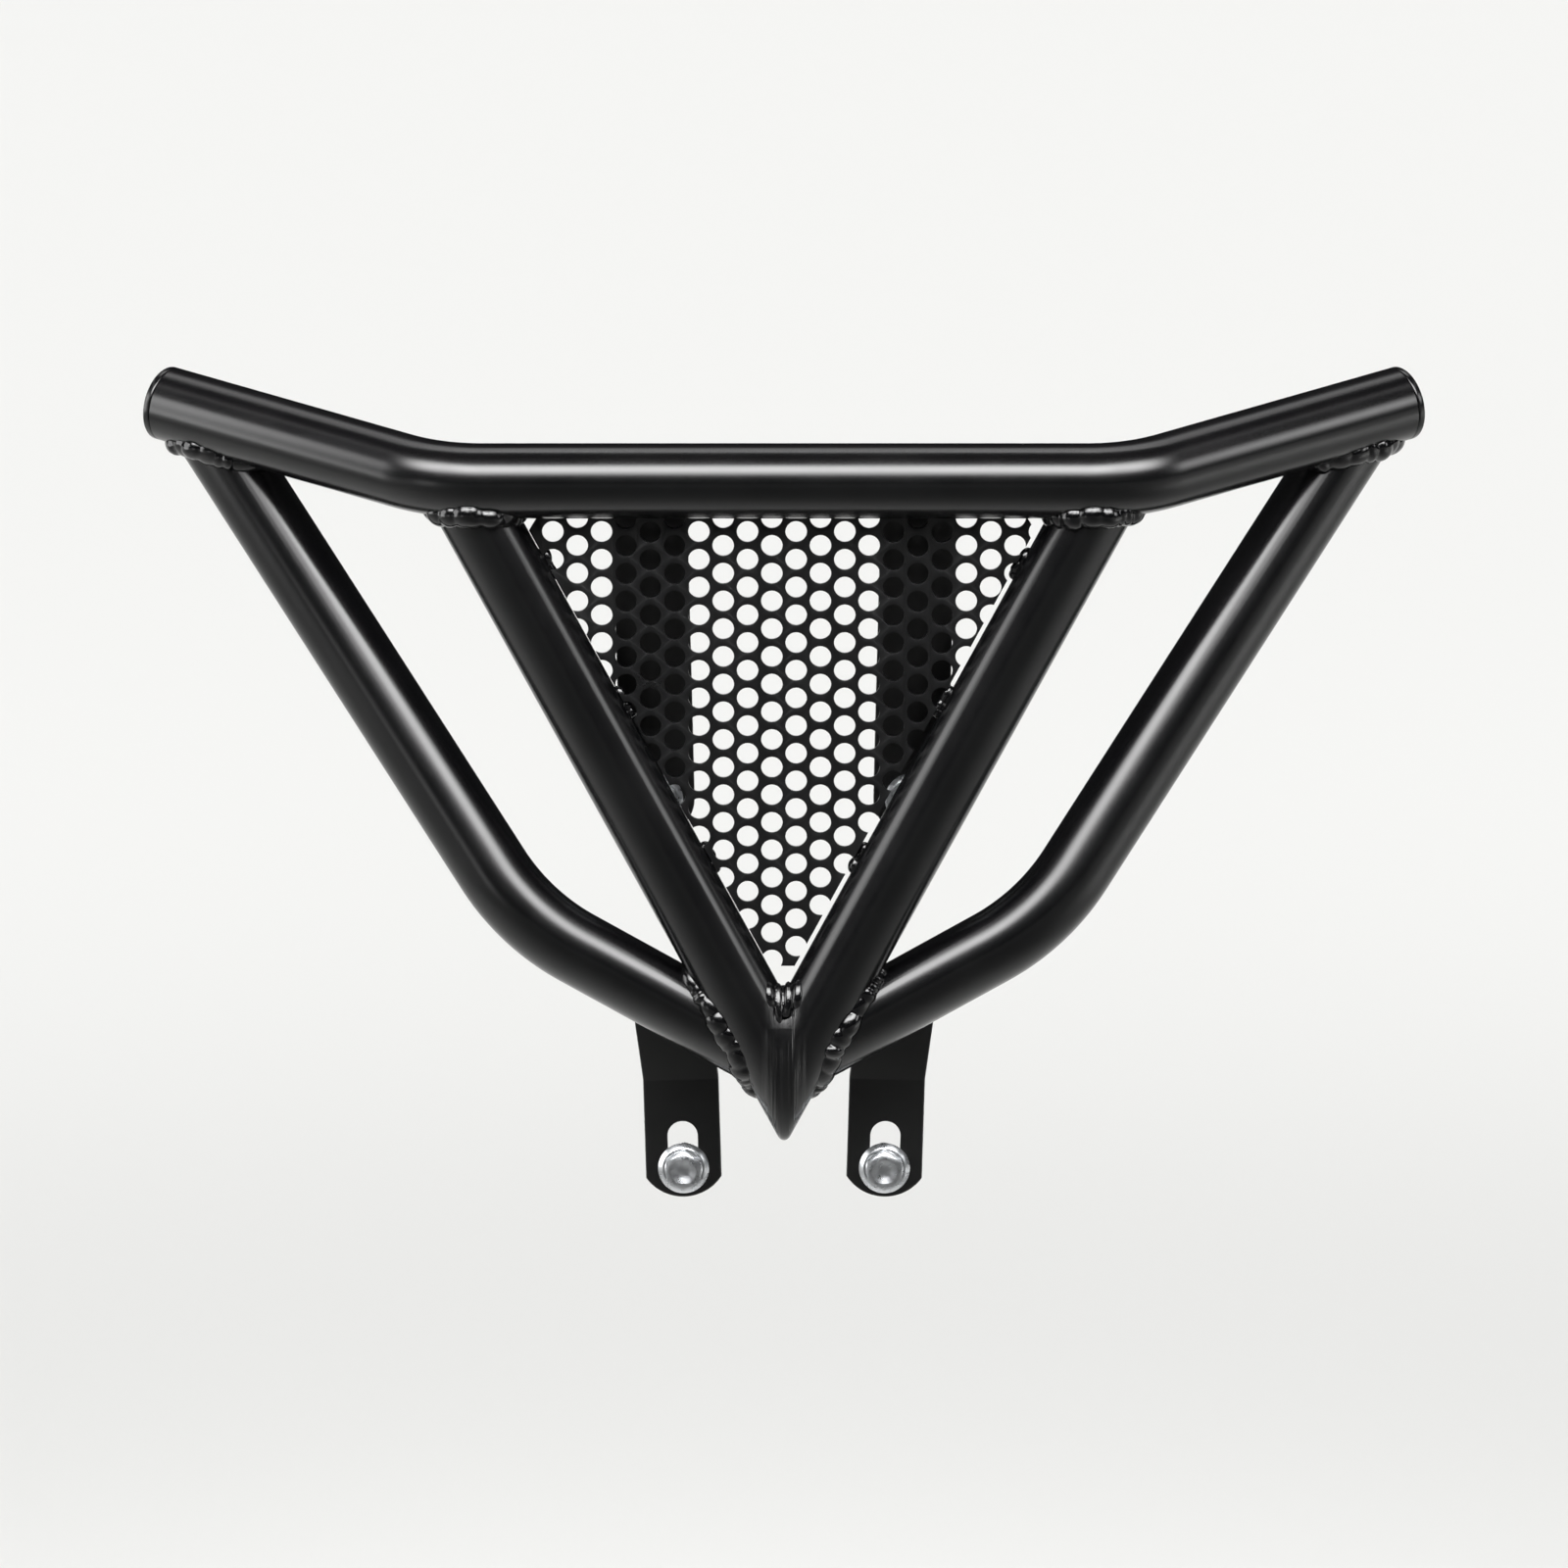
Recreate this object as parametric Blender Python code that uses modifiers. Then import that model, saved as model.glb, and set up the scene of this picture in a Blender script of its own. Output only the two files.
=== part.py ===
"""Front bumper for a sport quad: bent and coped steel tube, perforated panel, flat mounting bars.

Front faces -Y, +X is to the viewer's right, +Z is up. Lengths below are in millimetres, angles in
degrees. Everything hangs from one empty whose zero is the middle of the top tube; the empty is
placed so that the origin is midway between the lower bolts, on the back faces of the lower tabs.
"""
import math

import bmesh
import bpy
from mathutils import Matrix, Vector

# Tube stock and joints
TUBE_OD = 25.4
TUBE_WALL = 2.0
TUBE_SIDES = 20
JOINT_GAP = 0.3
JOINT_SETBACK = 6.0
END_TRIM = 9.0

# Top tube
TOP_BEND_X = 116.9
TOP_BEND_RADIUS = 50.0
ARM_LENGTH = 113.6
ARM_SWEEP = 31.8
ARM_RISE = 9.5
CAP_THICK = 2.6
CAP_BEVEL = 0.6

# Tubes of the V
V_TOP_X = 110.6
V_DROP = 203.7

# Side tubes
SIDE_FROM_END = 14.0
SIDE_FOOT_RISE = 2.0
SIDE_CORNER_X = 88.2
SIDE_CORNER_RISE = 51.3
SIDE_BEND_RADIUS = 76.0

# Perforated panel
PANEL_THICK = 2.0
PANEL_SIDE_GAP = 0.9
PANEL_TOP_GAP = 0.6
PANEL_FOOT_WIDTH = 8.6
PANEL_CORNER_CUT = 10.0
HOLE_DIA = 7.3
HOLE_PITCH = 9.5
HOLE_SIDES = 8
HOLE_ROW_START = 4.8
HOLE_LAND = 0.5

# Flat bar
BAR_THICK = 4.5
BAR_BEND_RADIUS = 7.0

# Upper straps, behind the panel
STRAP_WIDTH = 25.4
STRAP_TOP_X = 45.8
STRAP_TILT = 1.3
STRAP_LEAN = 10.0
STRAP_TOP_RISE = 6.0
STRAP_BEND_DROP = 89.5
STRAP_HOLE_DROP = 113.8
STRAP_HOLE_DIA = 9.0

# Lower tabs
TAB_WIDTH = 26.0
TAB_X = 34.5
BOLT_BELOW_V = 39.3
TAB_SIDE_TILT = 1.7
TAB_UPPER_TILT = 7.5
TAB_LEAN = 12.0
TAB_BEND_RISE = 31.0
TAB_TOP_RISE = 69.0
TAB_FOOT_DROP = 10.2
TAB_FOOT_RADIUS = 15.6
TAB_CLEARANCE = 1.6
SLOT_WIDTH = 10.4
SLOT_TRAVEL = 11.2

# Flange bolts
BOLT_DIA = 8.0
BOLT_LENGTH = 25.0
FLANGE_DIA = 17.9
FLANGE_THICK = 1.6
HEAD_FLATS = 12.0
HEAD_HEIGHT = 7.0
HEAD_DISH_DIA = 8.4
HEAD_DISH_DEPTH = 1.1
SEAT_GAP = 0.3

# Weld beads
WELD_RADIUS = 4.2
WELD_RIPPLE = 0.12
WELD_SIDES = 8
WELD_STATION_COUNT = 20
WELD_SWELL = 1.2
WELD_EASING_COUNT = 10
TACK_RADIUS = 3.0
TACK_LENGTH = 9.0
TAB_WELD_REACH = 7.0
TAB_WELD_RISE = 0.8

# Values that follow from the sizes above
MM = 0.001
TUBE_R = TUBE_OD / 2
COPE_R = TUBE_R + JOINT_GAP
V_BACK = JOINT_SETBACK
SIDE_FOOT_DROP = V_DROP - SIDE_FOOT_RISE
SIDE_CORNER_DROP = V_DROP - SIDE_CORNER_RISE
BOLT_DROP = V_DROP + BOLT_BELOW_V
SIDE_FOOT_BACK = V_BACK + JOINT_SETBACK
V_HALF_ANGLE = math.atan2(V_TOP_X, V_DROP)
V_LENGTH = math.hypot(V_TOP_X, V_DROP)
TAB_LEAN_TAN = math.tan(math.radians(TAB_LEAN))
STRAP_LEAN_TAN = math.tan(math.radians(STRAP_LEAN))
STRAP_FRONT = COPE_R / math.cos(math.radians(STRAP_LEAN)) + STRAP_BEND_DROP * STRAP_LEAN_TAN
SIDE_SLOPE = (SIDE_FOOT_DROP - SIDE_CORNER_DROP) / SIDE_CORNER_X
PAD_RISE = BOLT_DROP - SIDE_FOOT_DROP + TAB_X * SIDE_SLOPE - TAB_BEND_RISE
PAD_FRONT = SIDE_FOOT_BACK + COPE_R / math.cos(math.radians(TAB_LEAN)) + TAB_CLEARANCE
TAB_FRONT = PAD_FRONT + PAD_RISE * TAB_LEAN_TAN
SIDES = ((-1, "left"), (1, "right"))
BACK = Vector((0.0, 1.0, 0.0))

LOOKS = {
    "coat": ((0.012, 0.012, 0.013), 0.0, 0.28),
    "panel": ((0.014, 0.014, 0.015), 0.0, 0.36),
    "weld": ((0.016, 0.016, 0.017), 0.0, 0.22),
    "zinc": ((0.62, 0.64, 0.66), 1.0, 0.24),
}


# Scene, collections and the empty that carries everything
def clear_scene():
    for obj in list(bpy.data.objects):
        bpy.data.objects.remove(obj, do_unlink=True)
    for coll in list(bpy.data.collections):
        bpy.data.collections.remove(coll)


def new_collection(name):
    coll = bpy.data.collections.new(name)
    bpy.context.scene.collection.children.link(coll)
    return coll


def new_carrier(coll):
    carrier = bpy.data.objects.new("top tube middle", None)
    carrier.empty_display_size = 0.02
    carrier.location = Vector((0.0, -(TAB_FRONT + BAR_THICK), BOLT_DROP)) * MM
    coll.objects.link(carrier)
    return carrier


class Shop:
    """The two collections and the empty, handed to every function that adds an object."""

    def __init__(self):
        self.parts = new_collection("atv front bumper")
        self.cutters = new_collection("cutters")
        self.carrier = new_carrier(self.parts)

    def add(self, obj, look=None):
        target = self.cutters if look is None else self.parts
        target.objects.link(obj)
        obj.parent = self.carrier
        if look is None:
            obj.hide_render = True
            obj.display_type = "WIRE"
        elif obj.type == "MESH":
            dress(obj, look)
        return obj


def dress(obj, look):
    colour, metallic, roughness = LOOKS[look]
    mat = bpy.data.materials.new(obj.name + " finish")
    mat.use_nodes = True
    shader = mat.node_tree.nodes["Principled BSDF"]
    shader.inputs["Base Color"].default_value = (*colour, 1.0)
    shader.inputs["Metallic"].default_value = metallic
    shader.inputs["Roughness"].default_value = roughness
    mat.diffuse_color = (*colour, 1.0)
    obj.data.materials.clear()
    obj.data.materials.append(mat)


def shade(mesh, angle=38.0):
    mesh.shade_smooth()
    mesh.set_sharp_from_angle(angle=math.radians(angle))


def boolean(obj, cutter, operation="DIFFERENCE"):
    mod = obj.modifiers.new(operation.title() + " " + cutter.name, "BOOLEAN")
    mod.operation = operation
    mod.solver = "EXACT"
    mod.object = cutter
    return mod


# Curves and the meshes made from them
def curve_object(name, runs, cyclic, dimensions="3D"):
    """Each run is a list of points, with an optional swell factor as the fourth number."""
    data = bpy.data.curves.new(name, "CURVE")
    data.dimensions = dimensions
    for run in runs:
        spline = data.splines.new("POLY")
        spline.points.add(len(run) - 1)
        for point, spot in zip(spline.points, run):
            point.co = (spot[0] * MM, spot[1] * MM, spot[2] * MM, 1.0)
            if len(spot) > 3:
                point.radius = spot[3]
        spline.use_cyclic_u = cyclic
    return bpy.data.objects.new(name, data)


def realise(shop, obj, look=None, capped=True, rotation=None, location=None):
    """Turns a curve object into a mesh object of the same name and place."""
    name = obj.name
    bpy.context.scene.collection.objects.link(obj)
    depsgraph = bpy.context.evaluated_depsgraph_get()
    mesh = bpy.data.meshes.new_from_object(obj.evaluated_get(depsgraph))
    bm = bmesh.new()
    bm.from_mesh(mesh)
    if capped:
        bmesh.ops.remove_doubles(bm, verts=bm.verts[:], dist=0.002 * MM)
    bmesh.ops.recalc_face_normals(bm, faces=bm.faces[:])
    bm.to_mesh(mesh)
    bm.free()
    shade(mesh)
    world = obj.matrix_world.copy()
    data = obj.data
    bpy.data.objects.remove(obj, do_unlink=True)
    bpy.data.curves.remove(data)
    mesh.name = name
    solid = bpy.data.objects.new(name, mesh)
    solid.matrix_world = world
    if rotation is not None:
        solid.rotation_euler = rotation
    if location is not None:
        solid.location = location * MM
    return shop.add(solid, look)


def round_bar(shop, name, path, radius, look=None, sides=TUBE_SIDES, cyclic=False):
    """Solid round bar along a path."""
    obj = curve_object(name, [path], cyclic)
    obj.data.bevel_depth = radius * MM
    obj.data.bevel_resolution = sides // 2 - 2
    obj.data.use_fill_caps = not cyclic
    return realise(shop, obj, look)


def tube(shop, name, path, look="coat"):
    """Open round skin along a path, thickened inward to the wall."""
    obj = curve_object(name, [path], False)
    obj.data.bevel_depth = TUBE_R * MM
    obj.data.bevel_resolution = TUBE_SIDES // 2 - 2
    solid = realise(shop, obj, look)
    wall = solid.modifiers.new("Wall", "SOLIDIFY")
    wall.thickness = TUBE_WALL * MM
    wall.offset = -1.0
    wall.use_even_offset = True
    return solid


def flat_shape(shop, name, outlines, thickness, look=None, matrix=None):
    """Filled outline, drawn in X and Z, standing upright and facing -Y."""
    obj = curve_object(name, [[(x, z, 0.0) for x, z in line] for line in outlines], True, "2D")
    obj.data.fill_mode = "BOTH"
    obj.data.extrude = thickness / 2 * MM
    turn = Matrix.Rotation(math.radians(90), 4, "X")
    if matrix is not None:
        turn = matrix @ turn
    spot = turn.translation.copy()
    return realise(shop, obj, look, True, turn.to_euler(), spot)


def block(shop, name, size, matrix):
    bm = bmesh.new()
    bmesh.ops.create_cube(bm, size=1.0)
    bmesh.ops.scale(bm, verts=bm.verts[:], vec=Vector(size) * MM)
    mesh = bpy.data.meshes.new(name)
    bm.to_mesh(mesh)
    bm.free()
    obj = bpy.data.objects.new(name, mesh)
    obj.location = matrix.translation * MM
    obj.rotation_euler = matrix.to_euler()
    return shop.add(obj)


# Points along bent bars
def rounded_path(corners, radius, step_deg):
    """Straight runs joined by arcs of one centre line radius."""
    points = [corners[0].copy()]
    for before, corner, after in zip(corners, corners[1:], corners[2:]):
        u = (before - corner).normalized()
        v = (after - corner).normalized()
        turn = math.pi - u.angle(v)
        reach = radius * math.tan(turn / 2)
        centre = corner + (u + v).normalized() * (radius / math.cos(turn / 2))
        start = corner + u * reach - centre
        axis = (-u).cross(v).normalized()
        count = max(2, round(math.degrees(turn) / step_deg))
        for i in range(count + 1):
            points.append(centre + Matrix.Rotation(turn * i / count, 3, axis) @ start)
    points.append(corners[-1].copy())
    return points


def nearest_on_path(path, point):
    best = None
    for a, b in zip(path, path[1:]):
        run = b - a
        share = max(0.0, min(1.0, (point - a).dot(run) / run.length_squared))
        foot = a + run * share
        if best is None or (point - foot).length < (point - best).length:
            best = foot
    return best


def arc(cx, cz, radius, start, end, count):
    points = []
    for i in range(count + 1):
        angle = math.radians(start + (end - start) * i / count)
        points.append((cx + radius * math.cos(angle), cz + radius * math.sin(angle)))
    return points


# Centre lines, measured from the middle of the top tube
def arm_direction(side):
    sweep = math.radians(ARM_SWEEP)
    rise = math.radians(ARM_RISE)
    flat = math.cos(rise)
    return Vector((side * flat * math.cos(sweep), flat * math.sin(sweep), math.sin(rise)))


def arm_point(side, along):
    return Vector((side * TOP_BEND_X, 0.0, 0.0)) + arm_direction(side) * along


def top_path(overrun=0.0):
    reach = ARM_LENGTH - CAP_THICK - JOINT_GAP + overrun
    corners = [arm_point(-1, reach), arm_point(-1, 0.0), arm_point(1, 0.0), arm_point(1, reach)]
    return rounded_path(corners, TOP_BEND_RADIUS, 6.0)


def apex():
    return Vector((0.0, V_BACK, -V_DROP))


def v_axis(side):
    """Unit vector up the V tube, from the apex."""
    return Vector((side * math.sin(V_HALF_ANGLE), 0.0, math.cos(V_HALF_ANGLE)))


def v_path(side, below=0.0, above=0.0):
    return [apex() - v_axis(side) * below, apex() + v_axis(side) * (V_LENGTH + above)]


def side_path(side):
    start = arm_point(side, ARM_LENGTH - SIDE_FROM_END) + BACK * JOINT_SETBACK
    corner = Vector((side * SIDE_CORNER_X, SIDE_FOOT_BACK, -SIDE_CORNER_DROP))
    foot = Vector((0.0, SIDE_FOOT_BACK, -SIDE_FOOT_DROP))
    return rounded_path([start, corner, foot], SIDE_BEND_RADIUS, 6.0)


class Joint:
    """A branch tube butting on a main tube: saw plane, notch and weld bead."""

    def __init__(self, main, branch, at_start):
        """The saw plane lies along the main tube, END_TRIM short of its axis."""
        self.main = main
        self.branch = branch
        self.end = branch[0] if at_start else branch[-1]
        inner = branch[1] if at_start else branch[-2]
        self.away = (inner - self.end).normalized()
        foot = nearest_on_path(main, self.end)
        ahead = nearest_on_path(main, self.end + self.away * TUBE_R)
        along = ahead - foot
        if along.length < 0.01:
            along = main[-1] - main[0]
        self.along = along.normalized()
        self.out = (self.away - self.along * self.away.dot(self.along)).normalized()
        self.foot = foot

    def saw(self, shop, name, shift=0.0):
        """Block that covers everything on the main tube's side of the saw plane."""
        size = TUBE_OD * 4
        middle = self.foot + self.out * (END_TRIM + shift - size / 2)
        matrix = Matrix((self.along, self.out.cross(self.along), self.out)).transposed().to_4x4()
        matrix.translation = middle
        return block(shop, name, (size, size, size), matrix)

    def edge_point(self, line):
        """Where a line along the branch's outside leaves the saw plane and the main tube."""
        plane = END_TRIM - (line - self.foot).dot(self.out)
        best = plane / self.away.dot(self.out)
        step = 0.25
        for k in range(int(TUBE_OD * 3 / step), 0, -1):
            along = best + k * step
            point = line + self.away * along
            if (point - nearest_on_path(self.main, point)).length < TUBE_R:
                return line + self.away * (along + step / 2)
        return line + self.away * best

    def stations(self):
        """Bead points round the joint, with a swell factor as the fourth number."""
        side = self.away.cross(self.along).normalized()
        other = self.away.cross(side)
        spots = []
        for i in range(WELD_STATION_COUNT * 3):
            angle = 2 * math.pi * i / (WELD_STATION_COUNT * 3)
            line = self.end + TUBE_R * (math.cos(angle) * side + math.sin(angle) * other)
            edge = self.edge_point(line)
            foot = nearest_on_path(self.main, edge)
            skin = foot + (edge - foot).normalized() * TUBE_R
            spots.append((edge.lerp(skin, 0.5), (edge - skin).length))
        for _ in range(WELD_EASING_COUNT):
            spots = eased(spots)
        points = []
        for i, (spot, gap) in enumerate(evenly(spots, WELD_STATION_COUNT)):
            swell = min(WELD_SWELL, 1.0 + gap / 2 / WELD_RADIUS)
            swell += WELD_RIPPLE * math.sin(i * 2.4) * 0.6
            points.append((spot.x, spot.y, spot.z, swell))
        return points


def eased(spots):
    """Each point of a ring moved toward its neighbours, which rounds off corners."""
    ring = []
    for i, (spot, gap) in enumerate(spots):
        before, gap_before = spots[i - 1]
        after, gap_after = spots[(i + 1) % len(spots)]
        ring.append((spot * 0.5 + (before + after) * 0.25, gap * 0.5 + (gap_before + gap_after) * 0.25))
    return ring


def evenly(spots, count):
    """Points of a ring at equal distances along it."""
    closed = spots + spots[:1]
    lengths = [0.0]
    for (a, _), (b, _) in zip(closed, closed[1:]):
        lengths.append(lengths[-1] + (b - a).length)
    ring = []
    k = 0
    for i in range(count):
        wanted = lengths[-1] * i / count
        while lengths[k + 1] < wanted:
            k += 1
        share = (wanted - lengths[k]) / (lengths[k + 1] - lengths[k])
        (a, gap_a), (b, gap_b) = closed[k], closed[k + 1]
        ring.append((a.lerp(b, share), gap_a + (gap_b - gap_a) * share))
    return ring


def bead(shop, name, stations, radius, cyclic, cutters):
    """Lumpy round bead along the stations, with the joined pieces cut out of it."""
    obj = round_bar(shop, name, stations, radius, "weld", WELD_SIDES, cyclic)
    for cutter in cutters:
        boolean(obj, cutter)
    return obj


def tapered(points):
    """Swell factors for an open bead that thins toward both ends."""
    count = len(points)
    spots = []
    for i, point in enumerate(points):
        share = min(i, count - 1 - i) / ((count - 1) / 2)
        swell = 0.5 + 0.5 * math.sqrt(share) + WELD_RIPPLE * math.sin(i * 2.4)
        spots.append((point.x, point.y, point.z, swell))
    return spots


# The tubes, their copes and the beads between them
def build_frame(shop):
    top = top_path()
    tube(shop, "top_tube", top)
    top_cope = round_bar(shop, "cope of top tube", top_path(CAP_THICK * 3), COPE_R)
    copes = {"top": top_cope}
    reach = TUBE_R / math.tan(V_HALF_ANGLE) + 6.0
    for side, word in SIDES:
        v_line = v_path(side, below=reach)
        v_tube = tube(shop, "v_tube_" + word, v_line)
        v_joint = Joint(top, v_line, False)
        boolean(v_tube, v_joint.saw(shop, "saw of v tube " + word))
        boolean(v_tube, top_cope)
        size = TUBE_OD * 10
        matrix = Matrix.Translation((side * (JOINT_GAP / 2 - size / 2), 0.0, -V_DROP))
        mitre = block(shop, "mitre of v tube " + word, (size, size, size), matrix)
        boolean(v_tube, mitre)
        v_cope = round_bar(shop, "cope of v tube " + word, v_path(side, reach * 1.6), COPE_R)
        v_short = round_bar(shop, "short cope of v tube " + word, v_line, COPE_R)
        boolean(v_short, v_joint.saw(shop, "raised saw of v tube " + word, -JOINT_GAP))
        stations = v_joint.stations()
        bead(shop, "weld_top_v_" + word, stations, WELD_RADIUS, True, [top_cope, v_short])
        copes["v", side] = v_cope

        line = side_path(side)
        side_tube = tube(shop, "side_tube_" + word, line)
        upper = Joint(top, line, True)
        lower = Joint(v_path(side, below=reach * 1.6), line, False)
        boolean(side_tube, upper.saw(shop, "upper saw of side tube " + word))
        boolean(side_tube, lower.saw(shop, "lower saw of side tube " + word))
        boolean(side_tube, top_cope)
        boolean(side_tube, v_cope)
        short = round_bar(shop, "short cope of side tube " + word, line, COPE_R)
        boolean(short, upper.saw(shop, "upper saw of short cope " + word, -JOINT_GAP))
        boolean(short, lower.saw(shop, "lower saw of short cope " + word, -JOINT_GAP))
        copes["side", side] = short
        stations = upper.stations()
        bead(shop, "weld_top_side_" + word, stations, WELD_RADIUS, True, [top_cope, short])
        stations = lower.stations()
        joint = bead(shop, "weld_side_v_" + word, stations, WELD_RADIUS, True, [v_cope, short])
        copes["side weld", side] = joint
    return copes


def build_caps(shop):
    for side, word in SIDES:
        direction = arm_direction(side)
        bm = bmesh.new()
        bmesh.ops.create_cone(
            bm,
            cap_ends=True,
            segments=TUBE_SIDES,
            radius1=TUBE_R * MM,
            radius2=TUBE_R * MM,
            depth=CAP_THICK * MM,
        )
        mesh = bpy.data.meshes.new("end_cap_" + word)
        bm.to_mesh(mesh)
        bm.free()
        shade(mesh)
        obj = bpy.data.objects.new("end_cap_" + word, mesh)
        obj.location = arm_point(side, ARM_LENGTH - CAP_THICK / 2) * MM
        obj.rotation_euler = direction.to_track_quat("Z", "X").to_euler()
        rim = obj.modifiers.new("Rim", "BEVEL")
        rim.width = CAP_BEVEL * MM
        rim.segments = 2
        rim.limit_method = "ANGLE"
        rim.angle_limit = math.radians(50)
        shop.add(obj, "coat")


def build_apex_weld(shop, copes):
    """Bead in the fork between the two tubes of the V."""
    half = math.radians(42)
    count = 11
    points = []
    for i in range(count):
        angle = half * (2 * i / (count - 1) - 1)
        rise = TUBE_R / math.sin(V_HALF_ANGLE) * math.cos(angle)
        points.append(Vector((0.0, V_BACK + TUBE_R * math.sin(angle), rise - V_DROP)))
    cutters = [copes["v", -1], copes["v", 1]]
    bead(shop, "weld_apex", tapered(points), WELD_RADIUS, False, cutters)


# Panel
def panel_outline():
    """Corners of the panel as X and Z, anticlockwise seen from the front."""
    tan = math.tan(V_HALF_ANGLE)
    inset = (TUBE_R + PANEL_SIDE_GAP) / math.cos(V_HALF_ANGLE)
    top = -(TUBE_R + PANEL_TOP_GAP)
    foot_half = PANEL_FOOT_WIDTH / 2
    foot = (foot_half + inset) / tan - V_DROP
    corner = (V_DROP + top) * tan - inset
    low = corner - PANEL_CORNER_CUT * math.sin(V_HALF_ANGLE)
    right = [
        (foot_half, foot),
        (low, top - PANEL_CORNER_CUT * math.cos(V_HALF_ANGLE)),
        (corner - PANEL_CORNER_CUT, top),
    ]
    return right + [(-x, z) for x, z in reversed(right)]


def hole_centres(outline):
    """Staggered columns: whole holes, and holes that the panel's edge cuts through."""
    radius = HOLE_DIA / 2
    across = HOLE_PITCH * math.sin(math.radians(60))
    top = max(z for x, z in outline)
    foot = min(z for x, z in outline)
    wide = max(x for x, z in outline)
    edges = list(zip(outline, outline[1:] + outline[:1]))
    columns = int(wide / across) + 2
    rows = int((top - foot) / HOLE_PITCH) + 3
    whole = []
    cut = []
    for column in range(-columns, columns):
        x = (column + 0.5) * across
        stagger = HOLE_PITCH / 2 if column % 2 else 0.0
        for row in range(-1, rows):
            z = top - HOLE_ROW_START - stagger - row * HOLE_PITCH
            depths = []
            for (ax, az), (bx, bz) in edges:
                run = Vector((bx - ax, bz - az)).normalized()
                depths.append(run.x * (z - az) - run.y * (x - ax))
            near = [d for d in depths if abs(d) <= radius + HOLE_LAND]
            if min(depths) > radius + HOLE_LAND:
                whole.append((x, z))
            elif len(near) == 1 and -radius * 0.5 < min(depths) < radius - HOLE_LAND:
                cut.append((x, z))
    return whole, cut


def hole_outline(centre):
    """Sided outline with the area of the round hole."""
    wedge = 2 * math.pi / HOLE_SIDES
    radius = HOLE_DIA / 2 * math.sqrt(wedge / math.sin(wedge))
    points = arc(centre[0], centre[1], radius, 180 / HOLE_SIDES, 360 + 180 / HOLE_SIDES, HOLE_SIDES)
    return points[:-1]


def notched(outline, cut):
    """The outline with each cut hole bitten out of the edge it lies on."""
    ring = []
    for (ax, az), (bx, bz) in zip(outline, outline[1:] + outline[:1]):
        run = Vector((bx - ax, bz - az))
        length = run.length
        run.normalize()
        bites = []
        for centre in cut:
            along = run.x * (centre[0] - ax) + run.y * (centre[1] - az)
            depth = run.x * (centre[1] - az) - run.y * (centre[0] - ax)
            if 0.0 < along < length and abs(depth) < HOLE_DIA / 2:
                bites.append((along, bite(centre, Vector((ax, az)), run)))
        ring.append((ax, az))
        for along, points in sorted(bites):
            ring += points
    return ring


def bite(centre, start, run):
    """Points of one hole outline that lie inside an edge, walked the way the edge runs."""
    corners = [Vector(point) for point in reversed(hole_outline(centre))]
    depths = [run.x * (p.y - start.y) - run.y * (p.x - start.x) for p in corners]
    count = len(corners)
    first = next(k for k in range(count) if depths[k] > 0.0 >= depths[k - 1])
    points = []
    k = first
    before = corners[first - 1].lerp(corners[first], depths[first - 1] / (depths[first - 1] - depths[first]))
    points.append(before)
    while depths[k % count] > 0.0:
        points.append(corners[k % count])
        k += 1
    last = corners[(k - 1) % count]
    after = corners[k % count]
    drop = depths[(k - 1) % count]
    points.append(last.lerp(after, drop / (drop - depths[k % count])))
    return [(p.x, p.y) for p in points]


def build_panel(shop):
    outline = panel_outline()
    whole, cut = hole_centres(outline)
    matrix = Matrix.Translation((0.0, V_BACK, 0.0))
    shapes = [notched(outline, cut)] + [hole_outline(centre) for centre in whole]
    flat_shape(shop, "perforated_panel", shapes, PANEL_THICK, "panel", matrix)


def build_tacks(shop, copes):
    """Short beads behind the panel's edges that hold it between the tubes."""
    outline = panel_outline()
    low = Vector((outline[0][0], 0.0, outline[0][1]))
    high = Vector((outline[1][0], 0.0, outline[1][1]))
    size = TUBE_OD * 20
    matrix = Matrix.Translation((0.0, V_BACK - size / 2 + PANEL_THICK / 2 + JOINT_GAP, 0.0))
    room = block(shop, "room for panel", (size, size, size), matrix)
    for side, word in SIDES:
        for share, level in ((0.25, "lower"), (0.6, "middle"), (0.92, "upper")):
            spot = low.lerp(high, share)
            centre = Vector((side * spot.x, V_BACK + PANEL_THICK / 2, spot.z))
            points = []
            for i in range(6):
                points.append(centre + v_axis(side) * TACK_LENGTH * (i / 5 - 0.5))
            name = "tack_" + level + "_" + word
            bead(shop, name, tapered(points), TACK_RADIUS, False, [copes["v", side], room])


# Flat bars
def bar(shop, name, spine, width, extra=0.0, look=None, matrix=None):
    """Strip along a spine in its middle surface, thickened both ways."""
    bm = bmesh.new()
    shift = Vector((width / 2 + extra, 0.0, 0.0))
    verts = [bm.verts.new((point - shift) * MM) for point in spine]
    edges = [bm.edges.new(pair) for pair in zip(verts, verts[1:])]
    made = bmesh.ops.extrude_edge_only(bm, edges=edges)
    moved = [item for item in made["geom"] if isinstance(item, bmesh.types.BMVert)]
    bmesh.ops.translate(bm, verts=moved, vec=shift * 2 * MM)
    bmesh.ops.recalc_face_normals(bm, faces=bm.faces[:])
    mesh = bpy.data.meshes.new(name)
    bm.to_mesh(mesh)
    bm.free()
    shade(mesh)
    obj = bpy.data.objects.new(name, mesh)
    if matrix is not None:
        obj.location = matrix.translation * MM
        obj.rotation_euler = matrix.to_euler()
    shop.add(obj, look)
    thick = obj.modifiers.new("Thickness", "SOLIDIFY")
    thick.thickness = (BAR_THICK + extra * 2) * MM
    thick.offset = 0.0
    thick.use_even_offset = True
    return obj


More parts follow.
